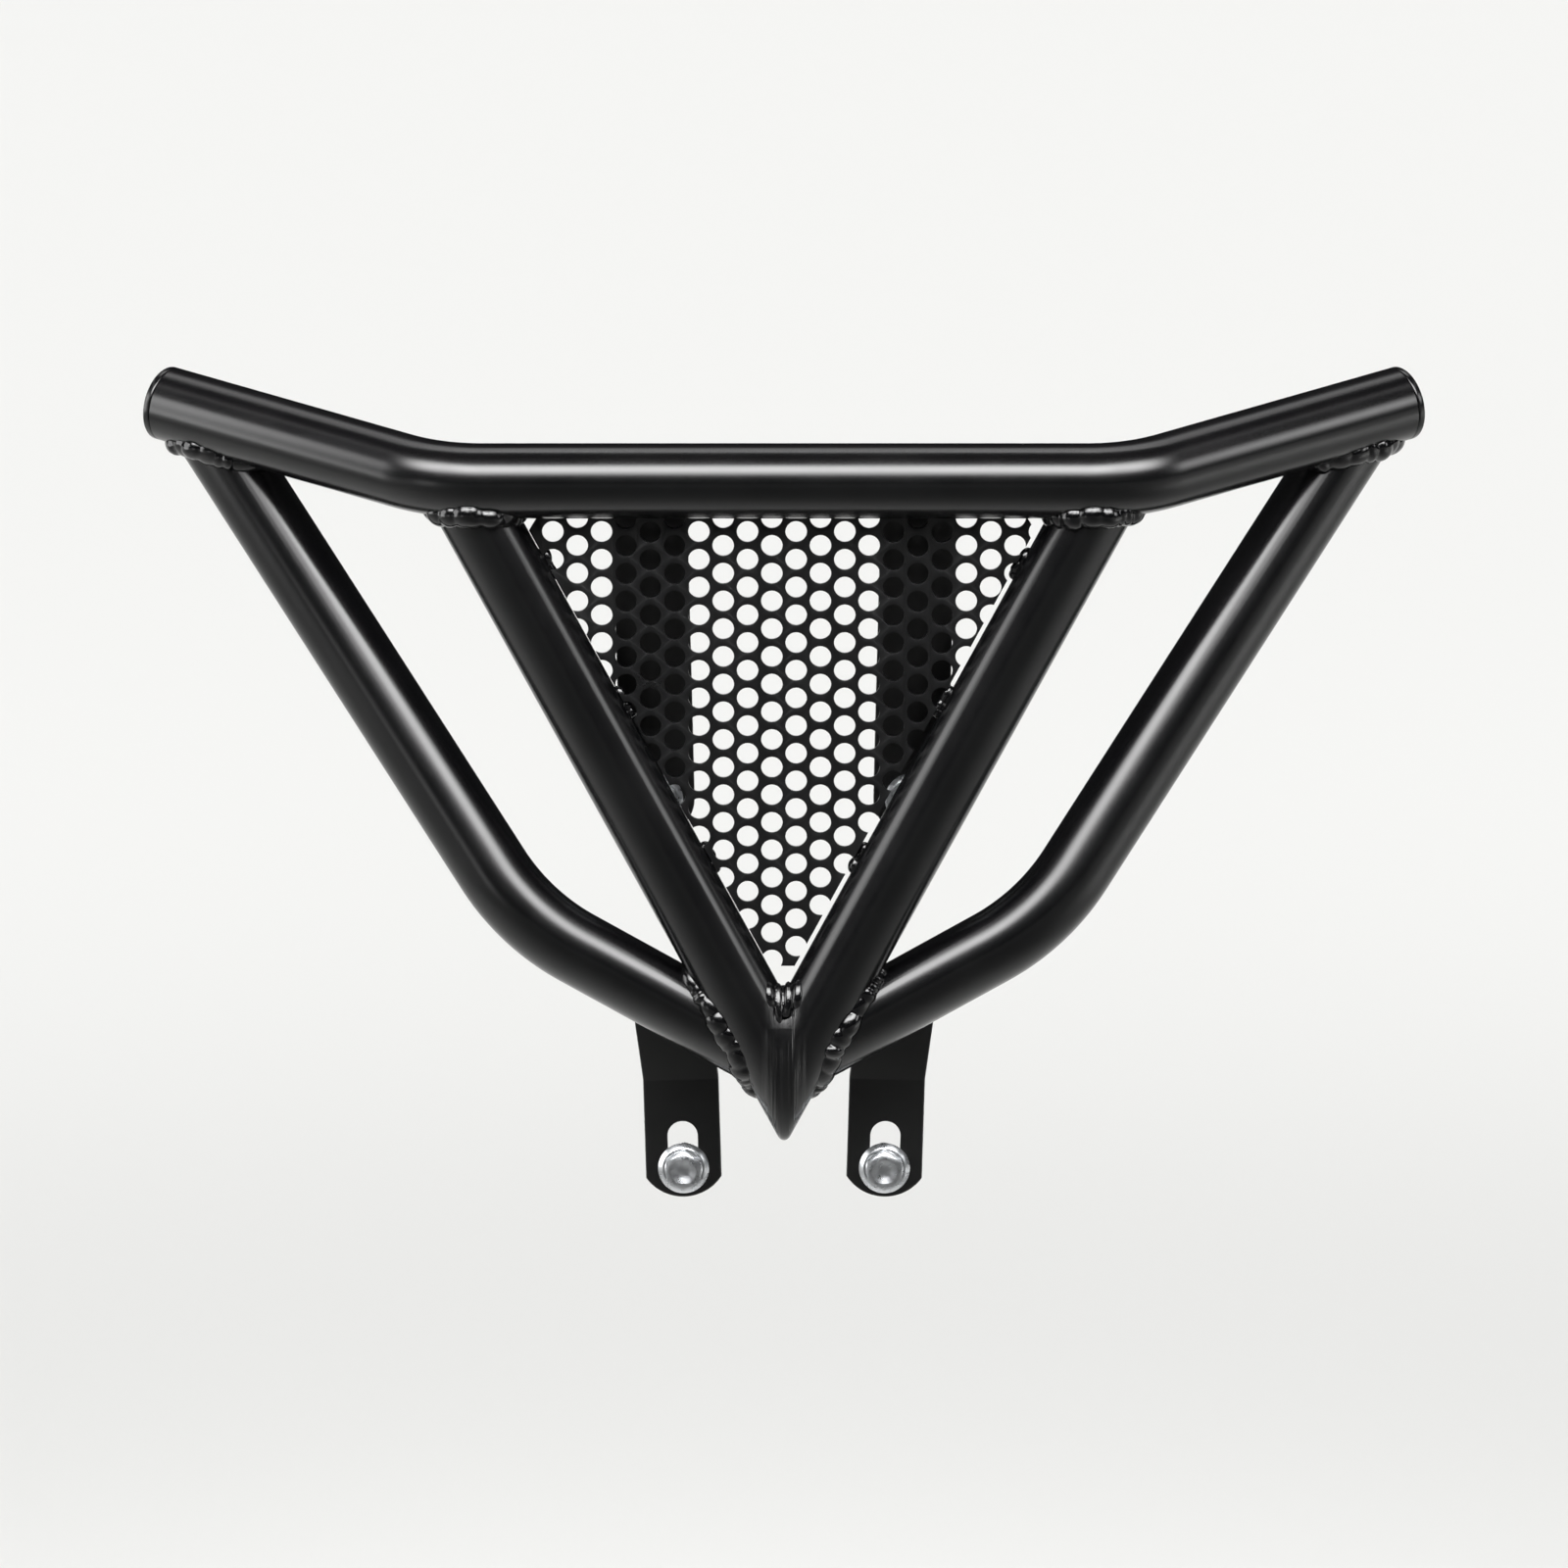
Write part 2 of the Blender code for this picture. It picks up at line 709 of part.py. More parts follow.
def rounded_end(width, top, centre, radius):
    """Outline of a bar with a round lower end, as X and Z."""
    reach = min(width / 2, radius - 0.02)
    spread = math.degrees(math.acos(reach / radius))
    drop = centre - radius * math.sin(math.radians(spread))
    points = [(width, top), (-width, top), (-width, drop)]
    points += arc(0.0, centre, radius, 180 + spread, 360 - spread, 14)
    points.append((width, drop))
    return points


def slot_outline(x, z, travel, width):
    upper = arc(x, z + travel, width / 2, 0, 180, 8)
    lower = arc(x, z, width / 2, 180, 360, 8)
    return upper + lower if travel > 0.01 else upper[:-1] + lower[:-1]


def strap_matrix(side):
    turn = Matrix.Rotation(math.radians(side * STRAP_TILT), 4, "Y")
    return Matrix.Translation((side * STRAP_TOP_X, 0.0, 0.0)) @ turn


def strap_spine():
    near = (COPE_R + BAR_THICK / 2) / math.cos(math.radians(STRAP_LEAN))
    rise = STRAP_TOP_RISE
    end = STRAP_HOLE_DROP + STRAP_WIDTH / 2 + 4.0
    far = near + STRAP_BEND_DROP * STRAP_LEAN_TAN
    corners = [
        Vector((0.0, near - rise * STRAP_LEAN_TAN, rise)),
        Vector((0.0, far, -STRAP_BEND_DROP)),
        Vector((0.0, far, -end)),
    ]
    return rounded_path(corners, BAR_BEND_RADIUS * 2, 5.0)


def build_straps(shop, copes):
    for side, word in SIDES:
        matrix = strap_matrix(side)
        strap = bar(shop, "upper_strap_" + word, strap_spine(), STRAP_WIDTH, 0.0, "coat", matrix)
        keep = rounded_end(STRAP_WIDTH, STRAP_TOP_RISE + STRAP_WIDTH, -STRAP_HOLE_DROP, STRAP_WIDTH / 2)
        shape = flat_shape(shop, "end of strap " + word, [keep], TUBE_OD * 6, None, matrix)
        boolean(strap, shape, "INTERSECT")
        hole = slot_outline(0.0, -STRAP_HOLE_DROP, 0.0, STRAP_HOLE_DIA)
        drill = flat_shape(shop, "drill of strap " + word, [hole], TUBE_OD * 6, None, matrix)
        boolean(strap, drill)
        room = bar(shop, "room for strap " + word, strap_spine(), STRAP_WIDTH, JOINT_GAP, None, matrix)
        spine = strap_spine()
        run = (spine[0] - spine[1]).normalized()
        face = spine[0] + run.cross(Vector((1.0, 0.0, 0.0))) * (BAR_THICK / 2)
        points = []
        for i in range(9):
            x = (STRAP_WIDTH / 2 - 2.0) * (i / 4 - 1)
            points.append(matrix @ (face + Vector((x, 0.0, 0.0)) + run * JOINT_GAP))
        name = "weld_strap_" + word
        bead(shop, name, tapered(points), WELD_RADIUS, False, [copes["top"], room])


def tab_spine(side):
    middle = TAB_FRONT + BAR_THICK / 2
    bend_x = TAB_X + TAB_BEND_RISE * math.tan(math.radians(TAB_SIDE_TILT))
    rise = TAB_TOP_RISE - TAB_BEND_RISE
    top_x = bend_x + rise * math.tan(math.radians(TAB_UPPER_TILT))
    end = TAB_FOOT_DROP + 4.0
    end_x = TAB_X - end * math.tan(math.radians(TAB_SIDE_TILT))
    corners = [
        Vector((side * top_x, middle - rise * TAB_LEAN_TAN, TAB_TOP_RISE - BOLT_DROP)),
        Vector((side * bend_x, middle, TAB_BEND_RISE - BOLT_DROP)),
        Vector((side * end_x, middle, -BOLT_DROP - end)),
    ]
    return rounded_path(corners, BAR_BEND_RADIUS, 6.0)


def tab_matrix(side):
    turn = Matrix.Rotation(math.radians(side * TAB_SIDE_TILT), 4, "Y")
    return Matrix.Translation((side * TAB_X, 0.0, -BOLT_DROP)) @ turn


def build_tabs(shop, copes):
    for side, word in SIDES:
        spine = tab_spine(side)
        tab = bar(shop, "lower_tab_" + word, spine, TAB_WIDTH, 0.0, "coat")
        matrix = tab_matrix(side)
        centre = TAB_FOOT_RADIUS - TAB_FOOT_DROP
        keep = rounded_end(TAB_WIDTH, TAB_TOP_RISE * 1.4, centre, TAB_FOOT_RADIUS)
        shape = flat_shape(shop, "end of tab " + word, [keep], TUBE_OD * 8, None, matrix)
        boolean(tab, shape, "INTERSECT")
        slot = slot_outline(0.0, 0.0, SLOT_TRAVEL, SLOT_WIDTH)
        boolean(tab, flat_shape(shop, "slot of tab " + word, [slot], TUBE_OD * 8, None, matrix))
        room = bar(shop, "room for tab " + word, spine, TAB_WIDTH, JOINT_GAP)
        boolean(copes["side weld", side], room)
        run = (spine[0] - spine[1]).normalized()
        level = TAB_X * SIDE_SLOPE - SIDE_FOOT_DROP
        crossing = spine[0] + run * ((level - spine[0].z) / run.z)
        for edge, place in ((-1, "inner"), (1, "outer")):
            x_edge = side * crossing.x + edge * TAB_WIDTH / 2
            height = x_edge * SIDE_SLOPE - SIDE_FOOT_DROP
            points = []
            for i in range(7):
                z = height + TAB_WELD_REACH * (i / 3 - 1)
                spot = spine[0] + run * ((z - spine[0].z) / run.z)
                spot.x += side * edge * (TAB_WIDTH / 2 + JOINT_GAP)
                spot.y -= BAR_THICK / 2 + TAB_WELD_RISE
                points.append(spot)
            name = "weld_tab_" + place + "_" + word
            cutters = [copes["side", side], copes["v", side], room]
            bead(shop, name, tapered(points), WELD_RADIUS, False, cutters)


# Fasteners
def build_bolt(shop, name, seat):
    """Flange bolt from the front; the turned part is a profile spun round its axis."""
    flange_r = FLANGE_DIA / 2
    hex_r = HEAD_FLATS / 2 / math.cos(math.radians(30))
    shank_r = BOLT_DIA / 2
    crown = FLANGE_THICK + 1.2
    profile = [
        (0.0, crown),
        (hex_r * 0.8, crown),
        (hex_r, FLANGE_THICK),
        (flange_r, FLANGE_THICK * 0.55),
        (flange_r, 0.35),
        (flange_r - 0.35, 0.0),
        (shank_r, 0.0),
        (shank_r, -BOLT_LENGTH + 0.9),
        (shank_r - 0.9, -BOLT_LENGTH),
        (0.0, -BOLT_LENGTH),
    ]
    bm = bmesh.new()
    verts = [bm.verts.new((r * MM, 0.0, h * MM)) for r, h in profile]
    for pair in zip(verts, verts[1:]):
        bm.edges.new(pair)
    mesh = bpy.data.meshes.new(name)
    bm.to_mesh(mesh)
    bm.free()
    obj = bpy.data.objects.new(name, mesh)
    upright = (math.radians(90), 0.0, 0.0)
    obj.location = (seat - BACK * SEAT_GAP) * MM
    obj.rotation_euler = upright
    shop.add(obj, "zinc")
    spin = obj.modifiers.new("Turned", "SCREW")
    spin.steps = 24
    spin.render_steps = 24
    spin.use_merge_vertices = True
    spin.merge_threshold = 0.00001
    spin.use_smooth_shade = True

    def cone(label, segments, low_r, high_r, low, high):
        bm = bmesh.new()
        bmesh.ops.create_cone(
            bm,
            cap_ends=True,
            segments=segments,
            radius1=low_r * MM,
            radius2=high_r * MM,
            depth=(high - low) * MM,
        )
        bmesh.ops.translate(bm, verts=bm.verts[:], vec=(0.0, 0.0, (high + low) / 2 * MM))
        cutter_mesh = bpy.data.meshes.new(label)
        bm.to_mesh(cutter_mesh)
        bm.free()
        cutter = bpy.data.objects.new(label, cutter_mesh)
        cutter.location = obj.location
        cutter.rotation_euler = upright
        return shop.add(cutter)

    hexagon = cone("hexagon of " + name, 6, hex_r, hex_r, FLANGE_THICK * 0.4, HEAD_HEIGHT)
    boolean(obj, hexagon, "UNION")
    dish_r = HEAD_DISH_DIA / 2
    low = HEAD_HEIGHT - HEAD_DISH_DEPTH
    dish = cone("dish of " + name, 16, dish_r * 0.78, dish_r * 1.08, low, HEAD_HEIGHT + 0.4)
    boolean(obj, dish)


def build_bolts(shop):
    for side, word in SIDES:
        build_bolt(shop, "lower_bolt_" + word, Vector((side * TAB_X, TAB_FRONT, -BOLT_DROP)))
        seat = strap_matrix(side) @ Vector((0.0, STRAP_FRONT, -STRAP_HOLE_DROP))
        build_bolt(shop, "upper_bolt_" + word, seat)


def main():
    clear_scene()
    shop = Shop()
    copes = build_frame(shop)
    build_caps(shop)
    build_apex_weld(shop, copes)
    build_panel(shop)
    build_tacks(shop, copes)
    build_straps(shop, copes)
    build_tabs(shop, copes)
    build_bolts(shop)


main()
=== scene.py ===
import math
import random

import bpy
from mathutils import Matrix, Vector


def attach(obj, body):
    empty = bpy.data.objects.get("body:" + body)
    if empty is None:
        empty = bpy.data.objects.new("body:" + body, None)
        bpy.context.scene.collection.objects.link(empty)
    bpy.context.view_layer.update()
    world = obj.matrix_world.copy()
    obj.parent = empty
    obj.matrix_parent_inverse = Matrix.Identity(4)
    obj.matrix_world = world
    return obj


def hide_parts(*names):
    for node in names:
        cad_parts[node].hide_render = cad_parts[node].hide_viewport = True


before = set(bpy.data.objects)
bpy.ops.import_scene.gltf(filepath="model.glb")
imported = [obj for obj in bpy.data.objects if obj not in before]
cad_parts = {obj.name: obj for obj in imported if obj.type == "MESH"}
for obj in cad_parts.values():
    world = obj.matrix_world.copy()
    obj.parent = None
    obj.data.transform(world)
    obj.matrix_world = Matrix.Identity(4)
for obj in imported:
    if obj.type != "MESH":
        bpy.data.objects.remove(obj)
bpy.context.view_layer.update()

# Sizes in millimetres, measured from the middle of the top tube
MM = 0.001
MIDDLE = Vector((0.0, -37.683, 243.0))
SIDES = ((-1, "left"), (1, "right"))
BACK = Vector((0.0, 1.0, 0.0))

# Round tubes
TUBE_R = 12.7
TUBE_WALL = 2.0
TUBE_SIDES = 72
SETBACK = 6.0
TOP_BEND_X = 116.9
TOP_BEND_RADIUS = 50.0
ARM_LENGTH = 113.6
ARM_SWEEP = math.radians(31.8)
ARM_RISE = math.radians(9.5)
CAP_THICK = 2.6
CAP_SEAM = 0.3
V_TOP_X = 110.6
V_DROP = 203.7
SIDE_FROM_END = 14.0
SIDE_FOOT_DROP = 201.7
SIDE_CORNER_X = 88.2
SIDE_CORNER_DROP = 152.4
SIDE_BEND_RADIUS = 76.0
END_TRIM = 9.0
TIP_GROUND = -228.6
NOSE_TOP = -188.0
NOSE_BLEND = 4.2
V_HALF_ANGLE = math.atan2(V_TOP_X, V_DROP)

# Seams round the coped ends, sampled to lay the beads on
SEAM_POINTS = 72
SEAM_STEP = 0.25
SEAM_STEPS = 160
SEAM_LIFT = 0.12
SEAM_SMOOTHING = 10

# Weld beads: their widths, and how they are laid
TUBE_BEAD = 9.4
SIDE_V_BEAD = 8.8
CROTCH_BEAD = 8.6
BAR_BEAD = 7.0
TACK_BEAD = 4.8
PUDDLE_STEP = 0.5
PUDDLE_SINK = 0.4
MELT_VOXEL = 0.4
NEVER_CALM = 2.0
CALM_IN_FRONT = 0.75
TACK_LEVELS = ((0.25, "lower"), (0.6, "middle"), (0.92, "upper"))
TACK_HALF_LENGTH = 4.0
# each fold's place across, how far its top is raised, its length and its half width
CROTCH_FOLDS = ((-5.0, 1.0, 8.0, 2.3), (-1.8, 0.0, 12.5, 2.1), (1.3, 0.6, 11.0, 1.9), (4.6, 1.6, 9.0, 2.4))
CROTCH_FOLD_TOP = -173.4
CROTCH_FOLD_HEIGHT = 2.6

# Punched panel
PANEL_THICK = 2.0
PANEL_SHIFT = -0.7
PANEL_CHAMFER = 5.0
HOLE_DIA = 7.3
HOLE_PITCH = 9.5
TOP_ROW = 4.8
LEAST_BITE = 0.5

# Flat bars
BAR_THICK = 4.5
BAR_BEND = 7.0
STRAP_WIDTH = 25.4
STRAP_TOP_X = 45.8
STRAP_TILT = math.radians(1.3)
STRAP_LEAN = math.radians(10.0)
STRAP_TOP_RISE = 6.0
STRAP_BEND_DROP = 89.5
STRAP_HOLE_DROP = 113.8
STRAP_HOLE = 9.0
STRAP_BEAD_HALF = 10.5
TAB_WIDTH = 26.0
TAB_X = 34.5
TAB_FRONT = 33.183
BOLT_DROP = 243.0
TAB_SIDE_TILT = math.radians(1.7)
TAB_UPPER_TILT = math.radians(7.5)
TAB_LEAN = math.radians(12.0)
TAB_BEND_RISE = 31.0
TAB_TOP_RISE = 69.0
TAB_FOOT_DROP = 10.2
TAB_FOOT_RADIUS = 15.6
TAB_BEAD_HALF = 6.0
SLOT_WIDTH = 10.4
SLOT_TRAVEL = 11.2

# Flange bolts
BOLT_R = 4.0
BOLT_LENGTH = 25.0
BOLT_PITCH = 1.25
FLANGE_R = 8.95
FLANGE_THICK = 1.6
HEAD_FLATS = 12.0
HEAD_HEIGHT = 7.0
DISH_DIA = 8.4
DISH_DEPTH = 1.1
CROWN_CHAMFER = 0.75
SEAT_GAP = 0.3

# Floor and camera, in metres and degrees
FLOOR = -0.55
FLOOR_SIZE = 40.0
LAMP_AIM = Vector((0.0, -0.02, 0.15))
CAMERA_AIM = Vector((0.0, -0.0377, 0.1393))
CAMERA_RISE = 9.5
CAMERA_DISTANCE = 4.0
CAMERA_ANGLE = 7.6


def place(point):
    """A point in millimetres from the top tube's middle, as metres in the row frame."""
    return (MIDDLE + Vector(point)) * MM


# Colours and nodes
def linear(code):
    """sRGB hex colour as linear red, green, blue and alpha."""
    values = []
    for i in (1, 3, 5):
        part = int(code[i:i + 2], 16) / 255
        values.append(part / 12.92 if part <= 0.04045 else ((part + 0.055) / 1.055) ** 2.4)
    return (values[0], values[1], values[2], 1.0)


def node(mat, kind, settings=None, links=None):
    """Adds a node to a material, sets its properties and sockets, and links its inputs."""
    made = mat.node_tree.nodes.new(kind)
    for name, value in (settings or {}).items():
        if isinstance(name, int) or name in made.inputs:
            made.inputs[name].default_value = value
        else:
            setattr(made, name, value)
    for name, source in (links or {}).items():
        mat.node_tree.links.new(source, made.inputs[name])
    return made


def blank(name):
    """A new material with an empty node tree."""
    mat = bpy.data.materials.new(name)
    mat.use_nodes = True
    mat.node_tree.nodes.clear()
    return mat


def powder_coat(name, deep, worn, smooth, rough, peel, ground=0.0):
    """Black polyester powder coat over steel: an even dark coat whose fine orange peel
    breaks up the edge of every reflection, a little dusty and dull in patches. Where steel was
    ground before coating, faint lines run down the nose of the V."""
    mat = blank(name)
    where = node(mat, "ShaderNodeTexCoord").outputs["Object"]
    # orange peel of about 1.2 mm
    fine = node(mat, "ShaderNodeTexNoise", {"Scale": 830.0, "Detail": 2.0}, {"Vector": where})
    # slow unevenness of the hand sprayed coat, about 14 mm
    slow = node(mat, "ShaderNodeTexNoise", {"Scale": 70.0, "Detail": 3.0}, {"Vector": where})
    # road dust and dull patches, about 35 mm
    dull = node(mat, "ShaderNodeTexNoise", {"Scale": 28.0, "Detail": 6.0, "Roughness": 0.65}, {"Vector": where})
    patch = node(mat, "ShaderNodeMapRange", {"From Min": 0.42, "From Max": 0.72}, {"Value": dull.outputs["Fac"]})
    colour = node(mat, "ShaderNodeMix", {"data_type": "RGBA", 6: linear(deep), 7: linear(worn)},
                  {0: patch.outputs["Result"]})
    gloss = node(mat, "ShaderNodeMapRange", {"From Min": 0.3, "From Max": 0.75, "To Min": smooth, "To Max": rough},
                 {"Value": dull.outputs["Fac"]})
    heights = node(mat, "ShaderNodeMath", {"operation": "MULTIPLY_ADD", 1: 0.12},
                   {0: fine.outputs["Fac"], 2: slow.outputs["Fac"]})
    height = heights.outputs[0]
    if ground:
        # grinding lines about 2 mm apart, only within 7 mm of the middle and below the crotch
        lines = node(mat, "ShaderNodeMapping", {"Scale": (480.0, 0.0, 9.0)}, {"Vector": where})
        grit = node(mat, "ShaderNodeTexNoise", {"Scale": 1.0, "Detail": 3.0}, {"Vector": lines.outputs[0]})
        axes = node(mat, "ShaderNodeSeparateXYZ", None, {0: where})
        aside = node(mat, "ShaderNodeMath", {"operation": "ABSOLUTE"}, {0: axes.outputs["X"]})
        near = node(mat, "ShaderNodeMapRange", {"From Min": 0.0075, "From Max": 0.004}, {"Value": aside.outputs[0]})
        under = node(mat, "ShaderNodeMapRange", {"From Min": 0.066, "From Max": 0.056}, {"Value": axes.outputs["Z"]})
        both = node(mat, "ShaderNodeMath", {"operation": "MULTIPLY"}, {0: near.outputs[0], 1: under.outputs[0]})
        depth = node(mat, "ShaderNodeMath", {"operation": "MULTIPLY", 1: ground}, {0: both.outputs[0]})
        height = node(mat, "ShaderNodeMath", {"operation": "MULTIPLY_ADD"},
                      {0: grit.outputs["Fac"], 1: depth.outputs[0], 2: height}).outputs[0]
    bump = node(mat, "ShaderNodeBump", {"Strength": 1.0, "Distance": peel * MM}, {"Height": height})
    shader = node(mat, "ShaderNodeBsdfPrincipled", {"IOR": 1.65}, {
        "Base Color": colour.outputs[2], "Roughness": gloss.outputs["Result"], "Normal": bump.outputs[0]})
    node(mat, "ShaderNodeOutputMaterial", None, {"Surface": shader.outputs[0]})
    return mat


def bright_zinc(name):
    """Bright zinc plate on a forged steel bolt: pale, faintly blue, with soft cloudy gloss."""
    mat = blank(name)
    where = node(mat, "ShaderNodeTexCoord").outputs["Object"]
    cloud = node(mat, "ShaderNodeTexNoise", {"Scale": 420.0, "Detail": 4.0}, {"Vector": where})
    grain = node(mat, "ShaderNodeTexNoise", {"Scale": 2600.0, "Detail": 2.0}, {"Vector": where})
    colour = node(mat, "ShaderNodeMix", {"data_type": "RGBA", 6: linear("#c3c6ca"), 7: linear("#e2e4e6")},
                  {0: cloud.outputs["Fac"]})
    gloss = node(mat, "ShaderNodeMapRange", {"To Min": 0.2, "To Max": 0.38}, {"Value": cloud.outputs["Fac"]})
    bump = node(mat, "ShaderNodeBump", {"Strength": 0.4, "Distance": 0.02 * MM}, {"Height": grain.outputs["Fac"]})
    shader = node(mat, "ShaderNodeBsdfPrincipled", {"Metallic": 1.0}, {
        "Base Color": colour.outputs[2], "Roughness": gloss.outputs["Result"], "Normal": bump.outputs[0]})
    node(mat, "ShaderNodeOutputMaterial", None, {"Surface": shader.outputs[0]})
    return mat


def plain_paper(name, code):
    """Matt paper sweep for the floor and backdrop."""
    mat = blank(name)
    shader = node(mat, "ShaderNodeBsdfPrincipled", {"Base Color": linear(code), "Roughness": 1.0,
                                                    "Specular IOR Level": 0.0})
    node(mat, "ShaderNodeOutputMaterial", None, {"Surface": shader.outputs[0]})
    return mat


TUBE_COAT = powder_coat("gloss black powder coat on tube", "#040405", "#080809", 0.21, 0.26, 0.02)
NOSE_COAT = powder_coat("gloss black powder coat on ground V", "#040405", "#080809", 0.21, 0.26, 0.02, 75.0)
BAR_COAT = powder_coat("black powder coat on flat bar", "#050505", "#0a0a0a", 0.28, 0.36, 0.03)
PANEL_COAT = powder_coat("black powder coat on punched sheet", "#050506", "#09090a", 0.26, 0.34, 0.02)
WELD_COAT = powder_coat("black powder coat over weld bead", "#040405", "#080809", 0.13, 0.2, 0.05)
BOLT_ZINC = bright_zinc("bright zinc plate on bolt")


# Steps used on every piece
def nothing_selected():
    """Back to object mode with every object deselected."""
    if bpy.context.object and bpy.context.object.mode != "OBJECT":
        bpy.ops.object.mode_set(mode="OBJECT")
    bpy.ops.object.select_all(action="DESELECT")


def active(obj):
    """Makes the object the only one selected."""
    nothing_selected()
    obj.select_set(True)
    bpy.context.view_layer.objects.active = obj


def to_edit(obj, kind="VERT"):
    """Opens the object in edit mode, to pick vertices, edges or faces."""
    active(obj)
    bpy.ops.object.mode_set(mode="EDIT")
    bpy.ops.mesh.select_mode(type=kind)


def pick(obj, test):
    """Selects the vertices whose place, in millimetres from the top tube's middle, passes the test."""
    bpy.ops.object.mode_set(mode="OBJECT")
    world = obj.matrix_world
    for vert in obj.data.vertices:
        vert.select = bool(test(world @ vert.co / MM - MIDDLE))
    for edge in obj.data.edges:
        edge.select = all(obj.data.vertices[i].select for i in edge.vertices)
    for face in obj.data.polygons:
        face.select = all(obj.data.vertices[i].select for i in face.vertices)
    bpy.ops.object.mode_set(mode="EDIT")


def fixed(obj):
    """Puts the object's place into its mesh."""
    active(obj)
    bpy.ops.object.transform_apply(location=True, rotation=True, scale=True)
    return obj


def modify(obj, kind, **settings):
    """Adds a modifier and applies it."""
    active(obj)
    mod = obj.modifiers.new(kind.title(), kind)
    for name, value in settings.items():
        setattr(mod, name, value)
    bpy.ops.object.modifier_apply(modifier=mod.name)


def cut(obj, cutter, operation="DIFFERENCE", keep=True):
    """Boolean with another closed piece, which is removed unless it is kept."""
    modify(obj, "BOOLEAN", operation=operation, solver="EXACT", object=cutter)
    if not keep:
        bpy.data.objects.remove(cutter, do_unlink=True)


def smooth(obj, angle=35.0):
    """Smooth shading, with edges sharper than the angle left crisp."""
    active(obj)
    bpy.ops.object.shade_smooth_by_angle(angle=math.radians(angle))


def outward(obj, merge=0.001):
    """Merges doubled vertices and turns every face outward."""
    to_edit(obj)
    bpy.ops.mesh.select_all(action="SELECT")
    bpy.ops.mesh.remove_doubles(threshold=merge * MM)
    bpy.ops.mesh.normals_make_consistent(inside=False)
    nothing_selected()


def finished(obj, name, mat, slot, *nodes):
    """Names the piece, coats it and lets it stand for its CAD nodes."""
    fixed(obj)
    obj.name = name
    obj.data.name = name
    obj.data.materials.clear()
    obj.data.materials.append(mat)
    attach(obj, "root")
    if nodes:
        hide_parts(*nodes)
    return obj


# Centre lines
def arm_direction(side):
    """Way that an arm of the top tube runs, back and up from its bend."""
    flat = math.cos(ARM_RISE)
    return Vector((side * flat * math.cos(ARM_SWEEP), flat * math.sin(ARM_SWEEP), math.sin(ARM_RISE)))


def arm_point(side, along):
    """Point on an arm's centre line, so far past its bend."""
    return Vector((side * TOP_BEND_X, 0.0, 0.0)) + arm_direction(side) * along


def top_corners(reach):
    """Corners of the top tube's centre line, its arms cut at a reach."""
    return [arm_point(-1, reach), arm_point(-1, 0.0), arm_point(1, 0.0), arm_point(1, reach)]


def v_point(side, along):
    """Point on a V tube's centre line, so far up from where the two lines cross."""
    axis = Vector((side * math.sin(V_HALF_ANGLE), 0.0, math.cos(V_HALF_ANGLE)))
    return Vector((0.0, SETBACK, -V_DROP)) + axis * along


def v_corners(side, below, above):
    """Ends of a V tube's centre line."""
    return [v_point(side, -below), v_point(side, math.hypot(V_TOP_X, V_DROP) + above)]


def side_corners(side):
    """Corners of a side tube's centre line, from the arm down to the foot of the V."""
    start = arm_point(side, ARM_LENGTH - SIDE_FROM_END) + BACK * SETBACK
    corner = Vector((side * SIDE_CORNER_X, SETBACK * 2, -SIDE_CORNER_DROP))
    return [start, corner, Vector((0.0, SETBACK * 2, -SIDE_FOOT_DROP))]


def bent_line(corners, radius, step=4.0):
    """Points along a bent bar's centre line."""
    points = [corners[0]]
    for before, corner, after in zip(corners, corners[1:], corners[2:]):
        start, centre, axis, turn = bend(before, corner, after, radius)
        count = max(2, round(math.degrees(turn) / step))
        for i in range(count + 1):
            points.append(centre + Matrix.Rotation(turn * i / count, 3, axis) @ (start - centre))
    points.append(corners[-1])
    return points


def bend(before, corner, after, radius):
    """Where a bend starts, its centre, its axis and how far it turns."""
    u = (before - corner).normalized()
    v = (after - corner).normalized()
    turn = math.pi - u.angle(v)
    start = corner + u * radius * math.tan(turn / 2)
    centre = corner + (u + v).normalized() * radius / math.cos(turn / 2)
    return start, centre, (-u).cross(v).normalized(), turn


def nearest(line, point):
    """The place on a line of points that lies nearest to a point."""
    best = None
    for a, b in zip(line, line[1:]):
        run = b - a
        share = max(0.0, min(1.0, (point - a).dot(run) / run.length_squared))
        foot = a + run * share
        if best is None or (point - foot).length < (point - best).length:
            best = foot
    return best


